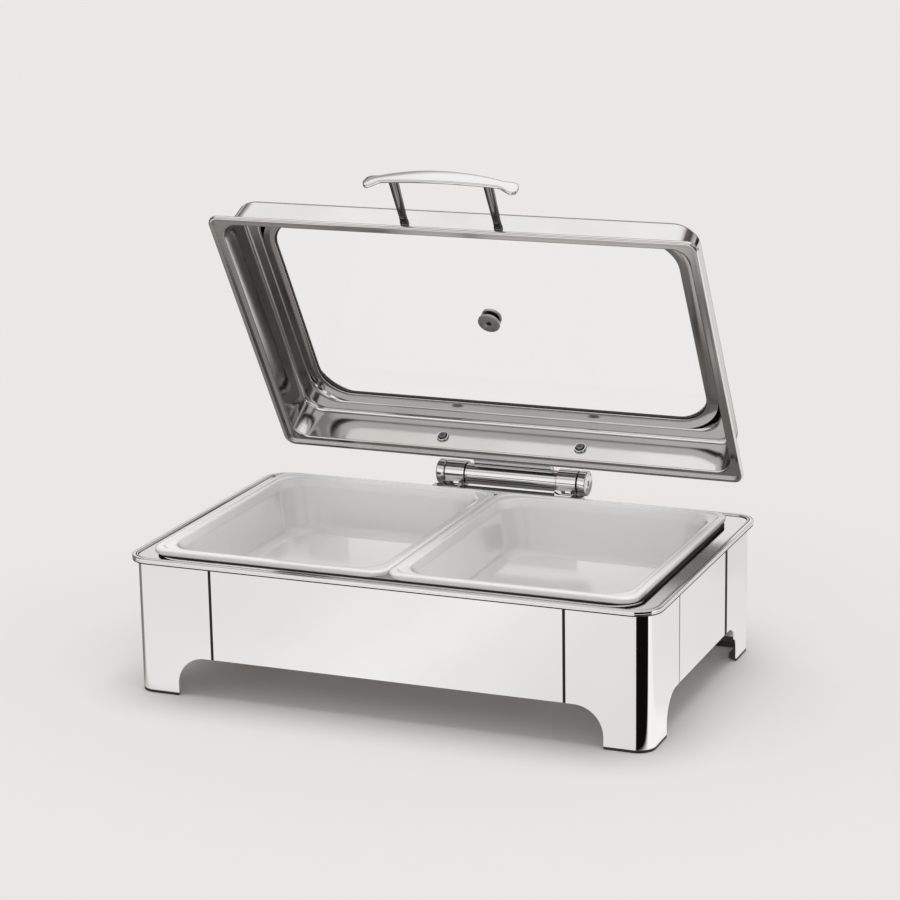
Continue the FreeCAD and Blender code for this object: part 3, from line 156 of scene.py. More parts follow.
# Fine dust lies on what faces upwards
def makeDustGroup():
    tree, start, end = newGroup("dustVeil", {"Vector": "Vector", "Amount": "Float"}, floats("Veil"))
    place = start.outputs["Vector"]
    normal = addNode(tree, "ShaderNodeNewGeometry").outputs["Normal"]
    up = maths("MAXIMUM", addNode(tree, "ShaderNodeSeparateXYZ", {0: normal}).outputs["Z"], 0.0)
    specks = spread(noise(place, 420.0, 2.0, 0.7), 0.0, 1.0, 0.52, 0.72)
    dusty = maths("ADD", specks, noise(place, 16.0, 3.0, 0.6))
    tree.links.new(product(up, dusty, start.outputs["Amount"]), end.inputs["Veil"])
    return tree


polishGroup = makePolishGroup()
dustGroup = makeDustGroup()


def dustOn(place, amount):
    return output(place.id_data, "ShaderNodeGroup", {"Vector": place, "Amount": amount}, node_tree=dustGroup)


def setSockets(shader, **values):
    for name, value in values.items():
        shader.inputs[name.replace("_", " ")].default_value = value


def newMaterial(name, preview):
    material = bpy.data.materials.new(name)
    material.use_nodes = True
    material.diffuse_color = (*preview, 1.0)
    tree = material.node_tree
    shader = tree.nodes["Principled BSDF"]
    place = addNode(tree, "ShaderNodeTexCoord").outputs["Object"]
    return material, tree, shader, place


def bump(shader, height, strength, distance, below=None):
    tree = shader.id_data
    inputs = {"Height": height, "Strength": strength, "Distance": distance}
    if below is not None:
        inputs["Normal"] = below
    normal = output(tree, "ShaderNodeBump", inputs)
    tree.links.new(normal, shader.inputs["Normal"])
    return normal


# Steels differ in how far they are polished, and in the direction of their grain
def makeSteel(name, look):
    material, tree, shader, place = newMaterial(name, look["colour"])
    low, high = look["rough"]
    marks = addNode(tree, "ShaderNodeGroup", {
        "Vector": place, "Stretch": look["stretch"], "Hairline Scale": look["hairlines"],
        "Smudge Scale": look["smudges"], "Roughness Low": low, "Roughness High": high},
        node_tree=polishGroup).outputs
    veil = dustOn(place, look["dust"])
    worn = mixColour(spread(marks["Smudge"], 0.0, 1.0, 0.35, 0.75), look["colour"], look["worn"])
    tree.links.new(mixColour(veil, worn, (0.62, 0.60, 0.57)), shader.inputs["Base Color"])
    tree.links.new(maths("ADD", marks["Roughness"], veil), shader.inputs["Roughness"])
    setSockets(shader, Metallic=1.0)
    waves = bump(shader, marks["Waves"], look["waviness"], 0.002)
    bump(shader, marks["Hairlines"], look["grain"], 0.00005, waves)
    return material


# The mirror steel's look, and what the others change of it
mirrorLook = {"colour": (0.935, 0.935, 0.935), "worn": (0.90, 0.90, 0.895), "stretch": (1.0, 1.0, 0.03),
              "hairlines": 700.0, "smudges": 7.0, "rough": (0.02, 0.07), "dust": 0.02, "waviness": 0.02,
              "grain": 0.02}
steels = {
    "mirrorSteel": {},
    "lidSteel": {"colour": (0.90, 0.89, 0.875), "worn": (0.83, 0.82, 0.805), "stretch": (0.03, 1.0, 1.0),
                 "hairlines": 650.0, "smudges": 8.0, "rough": (0.11, 0.17), "dust": 0.015, "waviness": 0.12,
                 "grain": 0.08},
    "rimSteel": {"colour": (0.93, 0.93, 0.925), "worn": (0.89, 0.89, 0.885), "rough": (0.10, 0.15)},
    # The posts' chrome is given a dark colour: a painted shade for the dark that the posts mirror
    "postChromePaintedShade": {"colour": (0.30, 0.295, 0.29), "worn": (0.22, 0.215, 0.21), "stretch": (1.0, 0.05, 1.0),
                   "hairlines": 500.0, "smudges": 30.0, "dust": 0.01, "grain": 0.01},
    "hingeChrome": {"colour": (0.92, 0.92, 0.93), "worn": (0.86, 0.86, 0.87), "stretch": (0.05, 1.0, 1.0),
                    "hairlines": 400.0, "smudges": 30.0, "rough": (0.015, 0.05), "grain": 0.002},
    "plateSteel": {"colour": (0.80, 0.80, 0.805), "worn": (0.70, 0.70, 0.705), "stretch": (0.03, 1.0, 1.0),
                   "hairlines": 900.0, "smudges": 20.0, "rough": (0.2, 0.3), "grain": 0.1},
    "plugSteel": {"colour": (0.74, 0.73, 0.715), "worn": (0.62, 0.61, 0.60), "stretch": (1.0, 1.0, 1.0),
                  "hairlines": 900.0, "smudges": 60.0, "rough": (0.36, 0.5), "dust": 0.03, "grain": 0.05},
    "satinSteel": {"colour": (0.66, 0.66, 0.67), "worn": (0.58, 0.58, 0.59), "stretch": (0.02, 1.0, 1.0),
                   "hairlines": 1200.0, "smudges": 14.0, "rough": (0.22, 0.38), "dust": 0.05,
                   "waviness": 0.05, "grain": 0.25},
    "screwSteel": {"colour": (0.80, 0.80, 0.81), "worn": (0.68, 0.68, 0.69), "stretch": (1.0, 1.0, 1.0),
                   "hairlines": 900.0, "smudges": 60.0, "rough": (0.06, 0.14)},
    # Dark spring steel for the lift springs; the lid screws take it too, as a painted shade for the recess round
    # each screw head
    "springSteelAndScrewShade": {"colour": (0.36, 0.36, 0.38), "worn": (0.24, 0.23, 0.23), "stretch": (1.0, 1.0, 1.0),
                    "hairlines": 1200.0, "smudges": 80.0, "rough": (0.25, 0.45), "grain": 0.1},
}
finishes = {name: makeSteel(name, {**mirrorLook, **look}) for name, look in steels.items()}


# Glazed porcelain: a white body under a clear glaze that ripples a little. Below the rims the body is painted a
# little darker, a painted shade for the pans' hollows
def makePorcelain():
    look = {"rim": (0.965, 0.97, 0.975), "inside": (0.945, 0.95, 0.955), "shade": 0.975,
            "dust": (0.60, 0.57, 0.52), "rimFrom": 0.1485, "rimTo": 0.1545, "glazeRipple": 0.004}
    material, tree, shader, place = newMaterial("whitePorcelain", look["rim"])
    height = addNode(tree, "ShaderNodeSeparateXYZ", {0: place}).outputs["Z"]
    # Below this height the colour is darker: painted shade inside the pans
    outOfPaintedShade = spread(height, 0.0, 1.0, look["rimFrom"], look["rimTo"])
    cloud = spread(noise(place, 6.0, 3.0, 0.5), 1.0, look["shade"], 0.3, 0.7)
    body = scaled(mixColour(outOfPaintedShade, look["inside"], look["rim"]), cloud)
    body = mixColour(dustOn(place, 0.006), body, look["dust"])
    tree.links.new(body, shader.inputs["Base Color"])
    rough = spread(noise(place, 14.0, 3.0, 0.6), 0.17, 0.21, 0.3, 0.7)
    tree.links.new(rough, shader.inputs["Roughness"])
    setSockets(shader, IOR=1.5, Coat_Weight=0.6, Coat_Roughness=0.09, Coat_IOR=1.5)
    bump(shader, noise(place, 18.0, 1.0, 0.4), look["glazeRipple"], 0.0008)
    return material


# Tempered glass with a faint cool tint and wiping streaks
def makeGlass():
    material, tree, shader, place = newMaterial("windowGlass", (0.9, 0.93, 0.93))
    wiped = noise(vectorMaths("MULTIPLY", place, (3.0, 14.0, 14.0)), 2.4, 3.0, 0.6)
    tint = mixColour(spread(wiped, 0.0, 1.0, 0.3, 0.7), (0.999, 1.0, 1.0), (0.994, 0.998, 1.0))
    tree.links.new(tint, shader.inputs["Base Color"])
    tree.links.new(spread(wiped, 0.0, 0.03, 0.45, 0.75), shader.inputs["Roughness"])
    setSockets(shader, Transmission_Weight=1.0, IOR=1.2)
    # Its shadow is faint
    shadowRay = addNode(tree, "ShaderNodeLightPath").outputs["Is Shadow Ray"]
    tree.links.new(spread(shadowRay, 1.0, 0.1), shader.inputs["Alpha"])
    return material


# Rubbers and plastics: a fine moulded grain, with paler scuffs
def makeMoulded(name, look):
    material, tree, shader, place = newMaterial(name, look["colour"])
    scuffs = spread(noise(place, look["scuffs"], 5.0, 0.65), 0.0, 1.0, 0.5, 0.8)
    worn = mixColour(scuffs, look["colour"], look["worn"])
    worn = mixColour(dustOn(place, look["dust"]), worn, (0.45, 0.43, 0.40))
    tree.links.new(worn, shader.inputs["Base Color"])
    tree.links.new(spread(scuffs, look["rough"], look["rough"] + 0.15), shader.inputs["Roughness"])
    bump(shader, noise(place, look["grainScale"], 2.0, 0.7), look["grain"], 0.0001)
    return material


mouldings = {
    "footRubber": {"colour": (0.012, 0.012, 0.013), "worn": (0.035, 0.034, 0.033), "scuffs": 60.0,
                   "dust": 0.08, "rough": 0.55, "grainScale": 1800.0, "grain": 0.35},
    "gasketSilicone": {"colour": (0.010, 0.010, 0.011), "worn": (0.022, 0.022, 0.022), "scuffs": 45.0,
                       "dust": 0.03, "rough": 0.38, "grainScale": 1400.0, "grain": 0.15},
    # A black that stands in for shade: painted shade in the seams, in the lines round the rim, under the food
    # pans' rims and in the vent's key hole
    "paintedShadeBlack": {"colour": (0.006, 0.006, 0.006), "worn": (0.014, 0.014, 0.014), "scuffs": 30.0,
                  "dust": 0.02, "rough": 0.7, "grainScale": 2200.0, "grain": 0.3},
    "bearingPlastic": {"colour": (0.30, 0.29, 0.27), "worn": (0.38, 0.37, 0.35), "scuffs": 80.0,
                       "dust": 0.02, "rough": 0.42, "grainScale": 1500.0, "grain": 0.12},
}
finishes.update({name: makeMoulded(name, look) for name, look in mouldings.items()})
finishes["whitePorcelain"] = makePorcelain()
finishes["windowGlass"] = makeGlass()
print("finishes made:", len(finishes))


# Meshes

# Gives a finished object its finish and its body
def dress(obj, finish, body):
    obj.data.materials.clear()
    obj.data.materials.append(finishes[finish])
    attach(obj, body)
    return obj


# The same for an object that takes a CAD node's place
def fit(obj, finish, node):
    dress(obj, finish, bodyOf[node])
    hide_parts(node)
    return obj


# Polished steel would show this piece over and over, so reflections leave it out
def hideFromMirrors(obj):
    obj.visible_glossy = False
    return obj


def newObject(name, mesh):
    obj = bpy.data.objects.new(name, mesh)
    scene.collection.objects.link(obj)
    return obj


# Smooth shading that keeps edges sharper than the angle
def smoothShade(mesh, degrees):
    mesh.polygons.foreach_set("use_smooth", [True] * len(mesh.polygons))
    mesh.set_sharp_from_angle(angle=math.radians(degrees))


# Makes the object's modifiers part of its mesh
def applyModifiers(obj):
    graph = bpy.context.evaluated_depsgraph_get()
    mesh = bpy.data.meshes.new_from_object(obj.evaluated_get(graph), depsgraph=graph)
    obj.modifiers.clear()
    obj.data = mesh
    return obj


def addBevel(obj, width, segments=2):
    bevel = obj.modifiers.new("edges", "BEVEL")
    bevel.width = width * mm
    bevel.segments = segments
    bevel.limit_method = "ANGLE"
    bevel.angle_limit = math.radians(30)
    bevel.harden_normals = True


def objectFrom(blank, name, sharp, place=None):
    mesh = bpy.data.meshes.new(name)
    blank.to_mesh(mesh)
    blank.free()
    if place is not None:
        mesh.transform(place)
    smoothShade(mesh, sharp)
    return newObject(name, mesh)


# A merged copy of a CAD node with softened edges
def refine(name, node, finish, width, segments=2, sharp=35):
    blank = bmesh.new()
    blank.from_mesh(frame["nodes"][node].data)
    bmesh.ops.remove_doubles(blank, verts=blank.verts, dist=0.002 * mm)
    bmesh.ops.dissolve_limit(blank, angle_limit=math.radians(0.6), verts=blank.verts, edges=blank.edges)
    obj = objectFrom(blank, name, sharp)
    addBevel(obj, width, segments)
    return fit(applyModifiers(obj), finish, node)


# A section is drawn as corners (inset, height, plan radius, fillet). This rounds the corners, and adds a
# point close to each arc so that flats stay flat when shaded.
def roundSection(keys, closed, arcStep=11.0, hold=0.35):
    points = []
    for index, (*corner, planRadius, fillet) in enumerate(keys):
        if fillet <= 0 or (not closed and index in (0, len(keys) - 1)):
            points.append((*corner, planRadius))
            continue
        corner = Vector(corner)
        nextKeys = (keys[index - 1], keys[(index + 1) % len(keys)])
        spans = [Vector(key[:2]) - corner for key in nextKeys]
        back, ahead = (span.normalized() for span in spans)
        turn = math.pi - spans[0].angle(spans[1])
        reach = min(fillet * math.tan(turn / 2), *(0.48 * span.length for span in spans))
        radius = reach / math.tan(turn / 2)
        start, end = corner + back * reach, corner + ahead * reach
        centre = corner + (back + ahead).normalized() * (radius / math.cos(turn / 2))
        planStart, planEnd = (planRadius + (key[2] - planRadius) * reach / span.length
                              for key, span in zip(nextKeys, spans))
        spares = [min(hold, 0.25 * (span.length - reach)) for span in spans]
        points.append((*(start + back * spares[0]), planStart))
        steps = max(2, math.ceil(math.degrees(turn) / arcStep))
        for step in range(steps + 1):
            share = step / steps
            spoke = (start - centre).normalized().slerp((end - centre).normalized(), share)
            points.append((*(centre + spoke * radius), planStart + (planEnd - planStart) * share))
        points.append((*(end + ahead * spares[1]), planEnd))
    return points


# One ring of points round a rounded rectangle
def planRing(plan, inset, height, radius, steps):
    halfX, halfY = plan["halfX"] - inset, plan["halfY"] - inset
    radius = max(min(radius, halfX - 0.1, halfY - 0.1), 0.05)
    ring = []
    for signX, signY, start in ((1, 1, 0), (-1, 1, 90), (-1, -1, 180), (1, -1, 270)):
        for step in range(steps + 1):
            angle = math.radians(start + 90 * step / steps)
            across = plan["x"] + signX * (halfX - radius) + radius * math.cos(angle)
            along = plan["y"] + signY * (halfY - radius) + radius * math.sin(angle)
            ring.append((across, along, height))
    return ring


def sectionRings(plan, keys, closed=False, steps=14):
    return [planRing(plan, *point, steps) for point in roundSection(keys, closed)]


# The plan of a CAD node's box
def planOf(node):
    low, high = boxOf(node)
    return {"halfX": (high.x - low.x) / 2, "halfY": (high.y - low.y) / 2,
            "x": (high.x + low.x) / 2, "y": (high.y + low.y) / 2}


def closeUp(blank):
    bmesh.ops.remove_doubles(blank, verts=blank.verts, dist=0.001 * mm)
    bmesh.ops.recalc_face_normals(blank, faces=blank.faces)


# Joins rings into a closed mesh: a loop of rings, or a skin capped at both ends
def stitch(name, rings, closed, place=None, sharp=50):
    count = len(rings[0])
    blank = bmesh.new()
    rows = [[blank.verts.new(Vector(point) * mm) for point in ring] for ring in rings]
    pairs = list(zip(rows, rows[1:]))
    if closed:
        pairs.append((rows[-1], rows[0]))
    for lower, upper in pairs:
        for index in range(count):
            following = (index + 1) % count
            blank.faces.new((lower[index], lower[following], upper[following], upper[index]))
    if not closed:
        blank.faces.new(rows[0])
        blank.faces.new(rows[-1])
    closeUp(blank)
    return objectFrom(blank, name, sharp, place)


# Geometry node trees

def newTree(name, inputs):
    inputs = {"Geometry": "Geometry", **inputs, "Material": "Material"}
    return newGroup(name, inputs, {"Geometry": "Geometry"}, "GeometryNodeTree")


def endTree(tree, geometry, start, end):
    real = output(tree, "GeometryNodeRealizeInstances", {0: geometry})
    inputs = {"Geometry": real, "Material": start.outputs["Material"]}
    tree.links.new(output(tree, "GeometryNodeSetMaterial", inputs), end.inputs[0])
    return tree


# Runs a tree on a mesh of points, and keeps the plain mesh with its faces turned outwards
def runTree(name, tree, points, finish, sharp, values, place=None):
    mesh = bpy.data.meshes.new(name)
    mesh.from_pydata([Vector(point) * mm for point in points], [], [])
    obj = newObject(name, mesh)
    modifier = obj.modifiers.new("build", "NODES")
    modifier.node_group = tree
    values = {**values, "Material": finishes[finish]}
    for item in tree.interface.items_tree:
        if item.in_out == "INPUT" and item.name in values:
            modifier[item.identifier] = values[item.name]
    mesh = applyModifiers(obj).data
    if place is not None:
        mesh.transform(place)
    blank = bmesh.new()
    blank.from_mesh(mesh)
    closeUp(blank)
    blank.to_mesh(mesh)
    blank.free()
    smoothShade(mesh, sharp)
    return obj


# A fastener on each point: a head with a socket, and its shank
def makeFastenerTree():
    tree, start, end = newTree("fasteners", {"Head Sides": "Int", "Turn": "Vector", **floats(
        "Head Radius", "Head Height", "Socket Radius", "Socket Depth", "Shank Radius", "Shank Length")})
    given = start.outputs

    def cylinder(sides, radius, depth, lift):
        inputs = {"Vertices": sides, "Radius": radius, "Depth": depth}
        body = addNode(tree, "GeometryNodeMeshCylinder", inputs).outputs["Mesh"]
        up = output(tree, "ShaderNodeCombineXYZ", {"Z": lift})
        return output(tree, "GeometryNodeTransform", {"Geometry": body, "Translation": up})

    high, long = given["Head Height"], given["Shank Length"]
    head = cylinder(given["Head Sides"], given["Head Radius"], high, product(high, 0.5))
    socket = cylinder(6, given["Socket Radius"], product(given["Socket Depth"], 2.0), high)
    shank = cylinder(32, given["Shank Radius"], long, product(long, -0.5))
    inputs = {"Mesh 1": head, "Mesh 2": socket}
    hollow = output(tree, "GeometryNodeMeshBoolean", inputs, operation="DIFFERENCE")
    whole = addNode(tree, "GeometryNodeJoinGeometry", {0: hollow})
    tree.links.new(shank, whole.inputs[0])
    points = output(tree, "GeometryNodeMeshToPoints", {"Mesh": given["Geometry"]})
    inputs = {"Points": points, "Instance": whole.outputs[0], "Rotation": given["Turn"]}
    return endTree(tree, output(tree, "GeometryNodeInstanceOnPoints", inputs), start, end)


# A coil spring about the Z axis
def makeSpringTree():
    tree, start, end = newTree("coilSpring", floats("Turns", "Coil Radius", "Length", "Wire Radius"))
    given = start.outputs
    coil = addNode(tree, "GeometryNodeCurveSpiral", {
        "Resolution": 20, "Rotations": given["Turns"], "Start Radius": given["Coil Radius"],
        "End Radius": given["Coil Radius"], "Height": given["Length"]}).outputs[0]
    inputs = {"Resolution": 8, "Radius": given["Wire Radius"]}
    wire = output(tree, "GeometryNodeCurvePrimitiveCircle", inputs)
    inputs = {"Curve": coil, "Profile Curve": wire, "Fill Caps": True}
    return endTree(tree, output(tree, "GeometryNodeCurveToMesh", inputs), start, end)


# A strip that follows a rounded rectangle, such as a seal or a frame
def makeStripTree():
    tree, start, end = newTree("framedStrip", floats(
        "Length", "Depth", "Corner", "Strip Width", "Strip Height", "Edge Round"))
    given = start.outputs

    def roundedBox(width, height, count, radius):
        inputs = {"Width": given[width], "Height": given[height]}
        sharpBox = output(tree, "GeometryNodeCurvePrimitiveQuadrilateral", inputs)
        inputs = {"Curve": sharpBox, "Count": count, "Radius": given[radius]}
        return output(tree, "GeometryNodeFilletCurve", inputs, mode="POLY")

    path = roundedBox("Length", "Depth", 14, "Corner")
    path = output(tree, "GeometryNodeSetCurveNormal", {"Curve": path}, mode="Z_UP")
    inputs = {"Curve": path, "Profile Curve": roundedBox("Strip Width", "Strip Height", 3, "Edge Round")}
    return endTree(tree, output(tree, "GeometryNodeCurveToMesh", inputs), start, end)


fastenerTree = makeFastenerTree()
springTree = makeSpringTree()
stripTree = makeStripTree()


# Stand
stand = {
    "bevel": 0.35, "boxInset": 7.05, "wall": 1.15, "ledgeDrop": 1.8, "beadHeight": 5.0, "skirt": 12.0,
    "cornerRadius": 27.0, "seamGap": 2.5, "seamFront": 3.1, "seamSide": 7.5, "seamProud": 0.25,
    "seamDepth": 1.0, "seamTop": 143.0, "seamFoot": 0.6,
    "wellSide": 33.5, "wellFront": 20.5, "wellBack": 36.5, "wellCorner": 30.0,
}
rimPlan = planOf("rim_frame")
rimTop = boxOf("rim_frame")[1].z
wellPlan = {"halfX": rimPlan["halfX"] - stand["wellSide"],
            "halfY": rimPlan["halfY"] - (stand["wellFront"] + stand["wellBack"]) / 2,
            "x": 0.0, "y": rimPlan["y"] + (stand["wellFront"] - stand["wellBack"]) / 2}


# The rim is one folded ring: a grooved bead outside, a ledge inside and a skirt below
def makeRim():
    top, box, outer, well = rimTop, stand["boxInset"], stand["cornerRadius"], stand["wellCorner"]
    ledge, low = top - stand["ledgeDrop"], top - stand["beadHeight"]
    under, inner = ledge - stand["wall"], outer - box
    skirtEnd, skirtFace = under - stand["skirt"], box + stand["wall"] + 0.05
    bead = [
        (box, under - 0.9, inner, 0.0), (box, low, inner, 0.2), (0.9, low, outer, 0.5),
        (0.1, low + 0.7, outer, 0.5), (0.1, low + 1.9, outer, 0.15), (0.5, low + 2.15, outer, 0.1),
        (0.1, low + 2.4, outer, 0.2), (0.0, top - 0.3, outer, 1.5), (1.2, top, outer, 0.8),
        (3.9, top, outer - 4.0, 0.25), (4.2, top - 0.55, outer - 4.2, 0.15),
        (4.7, top - 0.55, outer - 4.6, 0.15), (5.0, top, outer - 5.0, 0.3),
        (6.3, top - 0.1, outer - 6.0, 0.7), (7.2, ledge, outer - 7.2, 0.5), (9.0, ledge, outer - 8.5, 0.0),
    ]
    wellEdge = [(-1.5, ledge, well, 0.0), (0.0, ledge, well, 0.35), (0.0, under, well, 0.35),
                (-1.5, under, well, 0.0)]
    skirt = [
        (skirtFace + 1.4, under, inner - 2.4, 0.0), (skirtFace + 1.15, under, inner - 2.4, 0.1),
        (skirtFace + 1.15, skirtEnd, inner - 2.4, 0.3), (skirtFace, skirtEnd, inner - 1.2, 0.3),
        (skirtFace, under, inner - 1.2, 0.1), (box, under, inner, 0.1), (box, under - 0.6, inner, 0.0),
    ]
    rings = sectionRings(rimPlan, bead) + sectionRings(wellPlan, wellEdge) + sectionRings(rimPlan, skirt)
    hideFromMirrors(fit(stitch("rimFrame", rings, True, sharp=70), "rimSteel", "rim_frame"))


def makeStandPanels():
    for end in ("front", "rear"):
        for side in ("left", "right"):
            corner = f"{end}_{side}"
            refine(f"leg_{corner}_panel", f"leg_{corner}", "mirrorSteel", stand["bevel"])
            refine(f"foot_{corner}_pad", f"rubber_foot_{corner}", "footRubber", 0.5)
    for side in ("front", "rear", "left", "right"):
        hideFromMirrors(refine(f"apron_{side}_panel", f"apron_{side}", "mirrorSteel", stand["bevel"]))
        # The strips behind the seams are black, a painted shade for the seams' dark gaps
        hideFromMirrors(refine(f"seam_{side}_backing", f"seam_strips_{side}", "paintedShadeBlack", 0.2))


# A black strip with a four-cornered section that runs round a plan, a painted shade line where there is only shade
def makeShadeBand(name, body, plan, insets, heights, radius, fillets):
    (outer, inner), (low, high) = insets, heights
    corners = ((outer, low), (outer, high), (inner, high), (inner, low))
    keys = [(*corner, radius, fillet) for corner, fillet in zip(corners, fillets)]
    dress(stitch(name, sectionRings(plan, keys, closed=True), True), "paintedShadeBlack", body)


# Painted shade lines on the rim: one black strip runs between the rim's bead and its ledge, and one under the bead
def makeRimShadeLines():
    low, corner, fillets = rimTop - stand["beadHeight"], stand["cornerRadius"], (0.15, 0.15, 0.15, 0.15)
    for name, insets, heights, radius in (
            ("rimUpperShadeLine", (4.15, 4.75), (rimTop - 0.75, rimTop - 0.28), corner - 4.4),
            ("rimLowerShadeLine", (0.3, 1.7), (low - 0.65, low + 0.12), corner)):
        makeShadeBand(name, "stand", rimPlan, insets, heights, radius, fillets)


# A black strip fills each seam between a leg and an apron, a painted shade for its dark gap, but the side aprons'
# front seams are closed
def makeSeamStrips():
    top, deep = stand["seamTop"], stand["seamDepth"]
    for side, sign, across in (("front", -1, 0), ("rear", 1, 0), ("left", -1, 1), ("right", 1, 1)):
        low, high = boxOf(f"apron_{side}")
        face = (high if sign > 0 else low)[1 - across] + sign * (stand["seamProud"] - deep / 2)
        width = stand["seamSide"] if across else stand["seamFront"]
        blank = bmesh.new()
        for end in (1,) if across else (-1, 1):
            middle = (high if end > 0 else low)[across] + end * stand["seamGap"] / 2
            size, place = (width, deep, top - low.z - stand["seamFoot"]), (middle, face, (top + low.z) / 2)
            if across:
                size, place = ((second, first, third) for first, second, third in (size, place))
            made = bmesh.ops.create_cube(blank, size=1.0)["verts"]
            bmesh.ops.scale(blank, vec=Vector(size) * mm, verts=made)
            bmesh.ops.translate(blank, vec=Vector(place) * mm, verts=made)
        bmesh.ops.recalc_face_normals(blank, faces=blank.faces)
        obj = hideFromMirrors(objectFrom(blank, f"seamShadeFill_{side}", 30))
        addBevel(obj, 0.2)
        dress(applyModifiers(obj), "paintedShadeBlack", "stand")


makeRim()
makeStandPanels()
makeSeamStrips()
makeRimShadeLines()
print("stand made")

# Pans
waterPan = {"draft": 6.0, "sheet": 1.0, "flangeLap": 6.5, "bodyPlay": 2.0, "ribInset": 2.0, "ribWidth": 3.0,
            "ribHeight": 1.7, "corner": 30.0, "floorBend": 9.0}


# The water pan hangs in the well by a ribbed flange
def makeWaterPan():
    low, high = boxOf("water_pan")
    floor, top, flange = low.z, high.z, high.z - waterPan["ribHeight"]
    play, draft, sheet, corner, bend = (
        waterPan[key] for key in ("bodyPlay", "draft", "sheet", "corner", "floorBend"))
    edge, foot, under = -waterPan["flangeLap"], play + draft, flange - sheet
    ribStart = edge + waterPan["ribInset"]
    ribEnd = ribStart + waterPan["ribWidth"]
    keys = [
        (foot + 30.0, floor, corner, 0.0), (foot, floor, corner, bend), (play, under, corner, 1.2),
        (edge, under, corner, 0.4), (edge, flange, corner, 0.4), (ribStart, flange, corner, 0.4),
        (ribStart + 0.4, top, corner, 0.7), (ribEnd - 0.4, top, corner, 0.7), (ribEnd, flange, corner, 0.4),
        (play + sheet, flange, corner - sheet, 1.4),
        (foot + sheet, floor + sheet, corner - sheet, bend - sheet),
        (foot + 30.0, floor + sheet, corner, 0.0),
    ]
    hideFromMirrors(fit(stitch("waterPan", sectionRings(wellPlan, keys), False), "satinSteel", "water_pan"))
    hideFromMirrors(refine("dividerBar", "pan_divider_bar", "satinSteel", 0.4))


# A black strip runs round the water pan's flange, under the rims of the food pans: a painted shade for the dark
# gap under those rims
def makePanRimShade():
    high = boxOf("water_pan")[1]
    plan = {**planOf("water_pan"), "halfX": high.x + 2.6}
    heights = (high.z - waterPan["ribHeight"] + 0.05, high.z + 0.1)
    makeShadeBand("panRimShade", "water_pan", plan, (-1.3, 1.9), heights, waterPan["corner"], (0.15, 0.5, 0.3, 0.1))


foodPan = {
    "rimCorner": 17.0, "mouthCorner": 33.0, "floorCorner": 28.0,
    "rimHeight": 7.0, "edgeRound": 2.6, "lipWidth": 6.2, "stepDrop": 1.1, "mouthInset": 12.6,
    "bodyInset": 14.0, "wall": 4.5, "draft": 8.5, "floor": 5.0, "floorBend": 11.0, "footInset": 10.0,
}


# Each food pan is one skin of glazed porcelain: foot ring, wall, stepped rim, mouth and floor
def makeFoodPan(side):
    node = f"food_pan_{side}"
    low, high = boxOf(node)
    base, top = low.z, high.z
    rim, corner, footCorner = (foodPan[key] for key in ("rimCorner", "mouthCorner", "floorCorner"))
    mouth, lip, bend = (foodPan[key] for key in ("mouthInset", "lipWidth", "floorBend"))
    under, step, floor = top - foodPan["rimHeight"], top - foodPan["stepDrop"], base + foodPan["floor"]
    outer = foodPan["bodyInset"] + foodPan["draft"]
    inner, foot = outer + foodPan["wall"], outer + foodPan["footInset"]
    keys = [
        (foot + 14.0, base + 1.4, footCorner, 0.0), (foot + 5.0, base + 1.4, footCorner, 0.8),
        (foot + 4.2, base, footCorner, 0.8), (foot, base, footCorner, 0.8),
        (foot - 1.0, base + 0.9, footCorner, 0.8), (outer + 0.8, base + 1.2, footCorner, bend),
        (foodPan["bodyInset"] + 0.2, under, corner, 2.2), (0.4, under, rim, 2.0),
        (0.0, top, rim, foodPan["edgeRound"]), (lip, top - 0.1, rim + 1.0, 0.9),
        (lip + 1.3, step, rim + 2.0, 0.9), (mouth, step - 0.3, corner, 2.4),
        (mouth + 4.8, under - 2.5, corner, 7.0), (inner, floor, corner, bend),
        (inner + 26.0, floor, corner, 0.0),
    ]
    pan = stitch(f"foodPan_{side}", sectionRings(planOf(node), keys, steps=18), False)
    hideFromMirrors(fit(pan, "whitePorcelain", node))


makeWaterPan()
makePanRimShade()
makeFoodPan("left")
makeFoodPan("right")
print("pans made")


def makeBurnerBay():
    refine("burnerShelf", "burner_shelf", "satinSteel", 0.3)
    for side in ("left", "right"):
        refine(f"hanger_{side}", f"shelf_hanger_{side}", "satinSteel", 0.4)
        refine(f"burnerCup_{side}", f"burner_cup_{side}", "satinSteel", 0.35, sharp=40)
        refine(f"burnerLid_{side}", f"burner_cover_{side}", "satinSteel", 0.4, sharp=40)
        refine(f"coverPin_{side}", f"cover_pin_{side}", "screwSteel", 0.3, sharp=40)


makeBurnerBay()
print("burner bay made")

# Hinge
hingeParts = {"bevel": 0.5, "boltHead": 4.6, "boltHeight": 3.0, "nutRadius": 4.6, "nutHeight": 4.0,
              "shank": 2.5, "socket": 1.9, "socketDepth": 1.7, "coils": 11.0, "wire": 0.7, "coilRadius": 7.0,
              "innerAt": 26.0, "boltShank": 10.2, "nutShank": 0.5, "springPlay": 0.8}


def makeHinge():
    bevel = hingeParts["bevel"]
    hideFromMirrors(refine("hingeBase", "hinge_base_plate", "plateSteel", 0.4))
    refine("hingeBacking", "hinge_backing_plate", "satinSteel", 0.4)
    refine("hingeBarrel", "hinge_barrel_leaf", "hingeChrome", bevel, 2, 40)
    for side in ("left", "right"):
        refine(f"hingeRing_{side}", f"hinge_ring_{side}", "hingeChrome", bevel, 3, 40)
        refine(f"hingeCap_{side}", f"hinge_cap_{side}", "hingeChrome", 0.35, 3, 40)


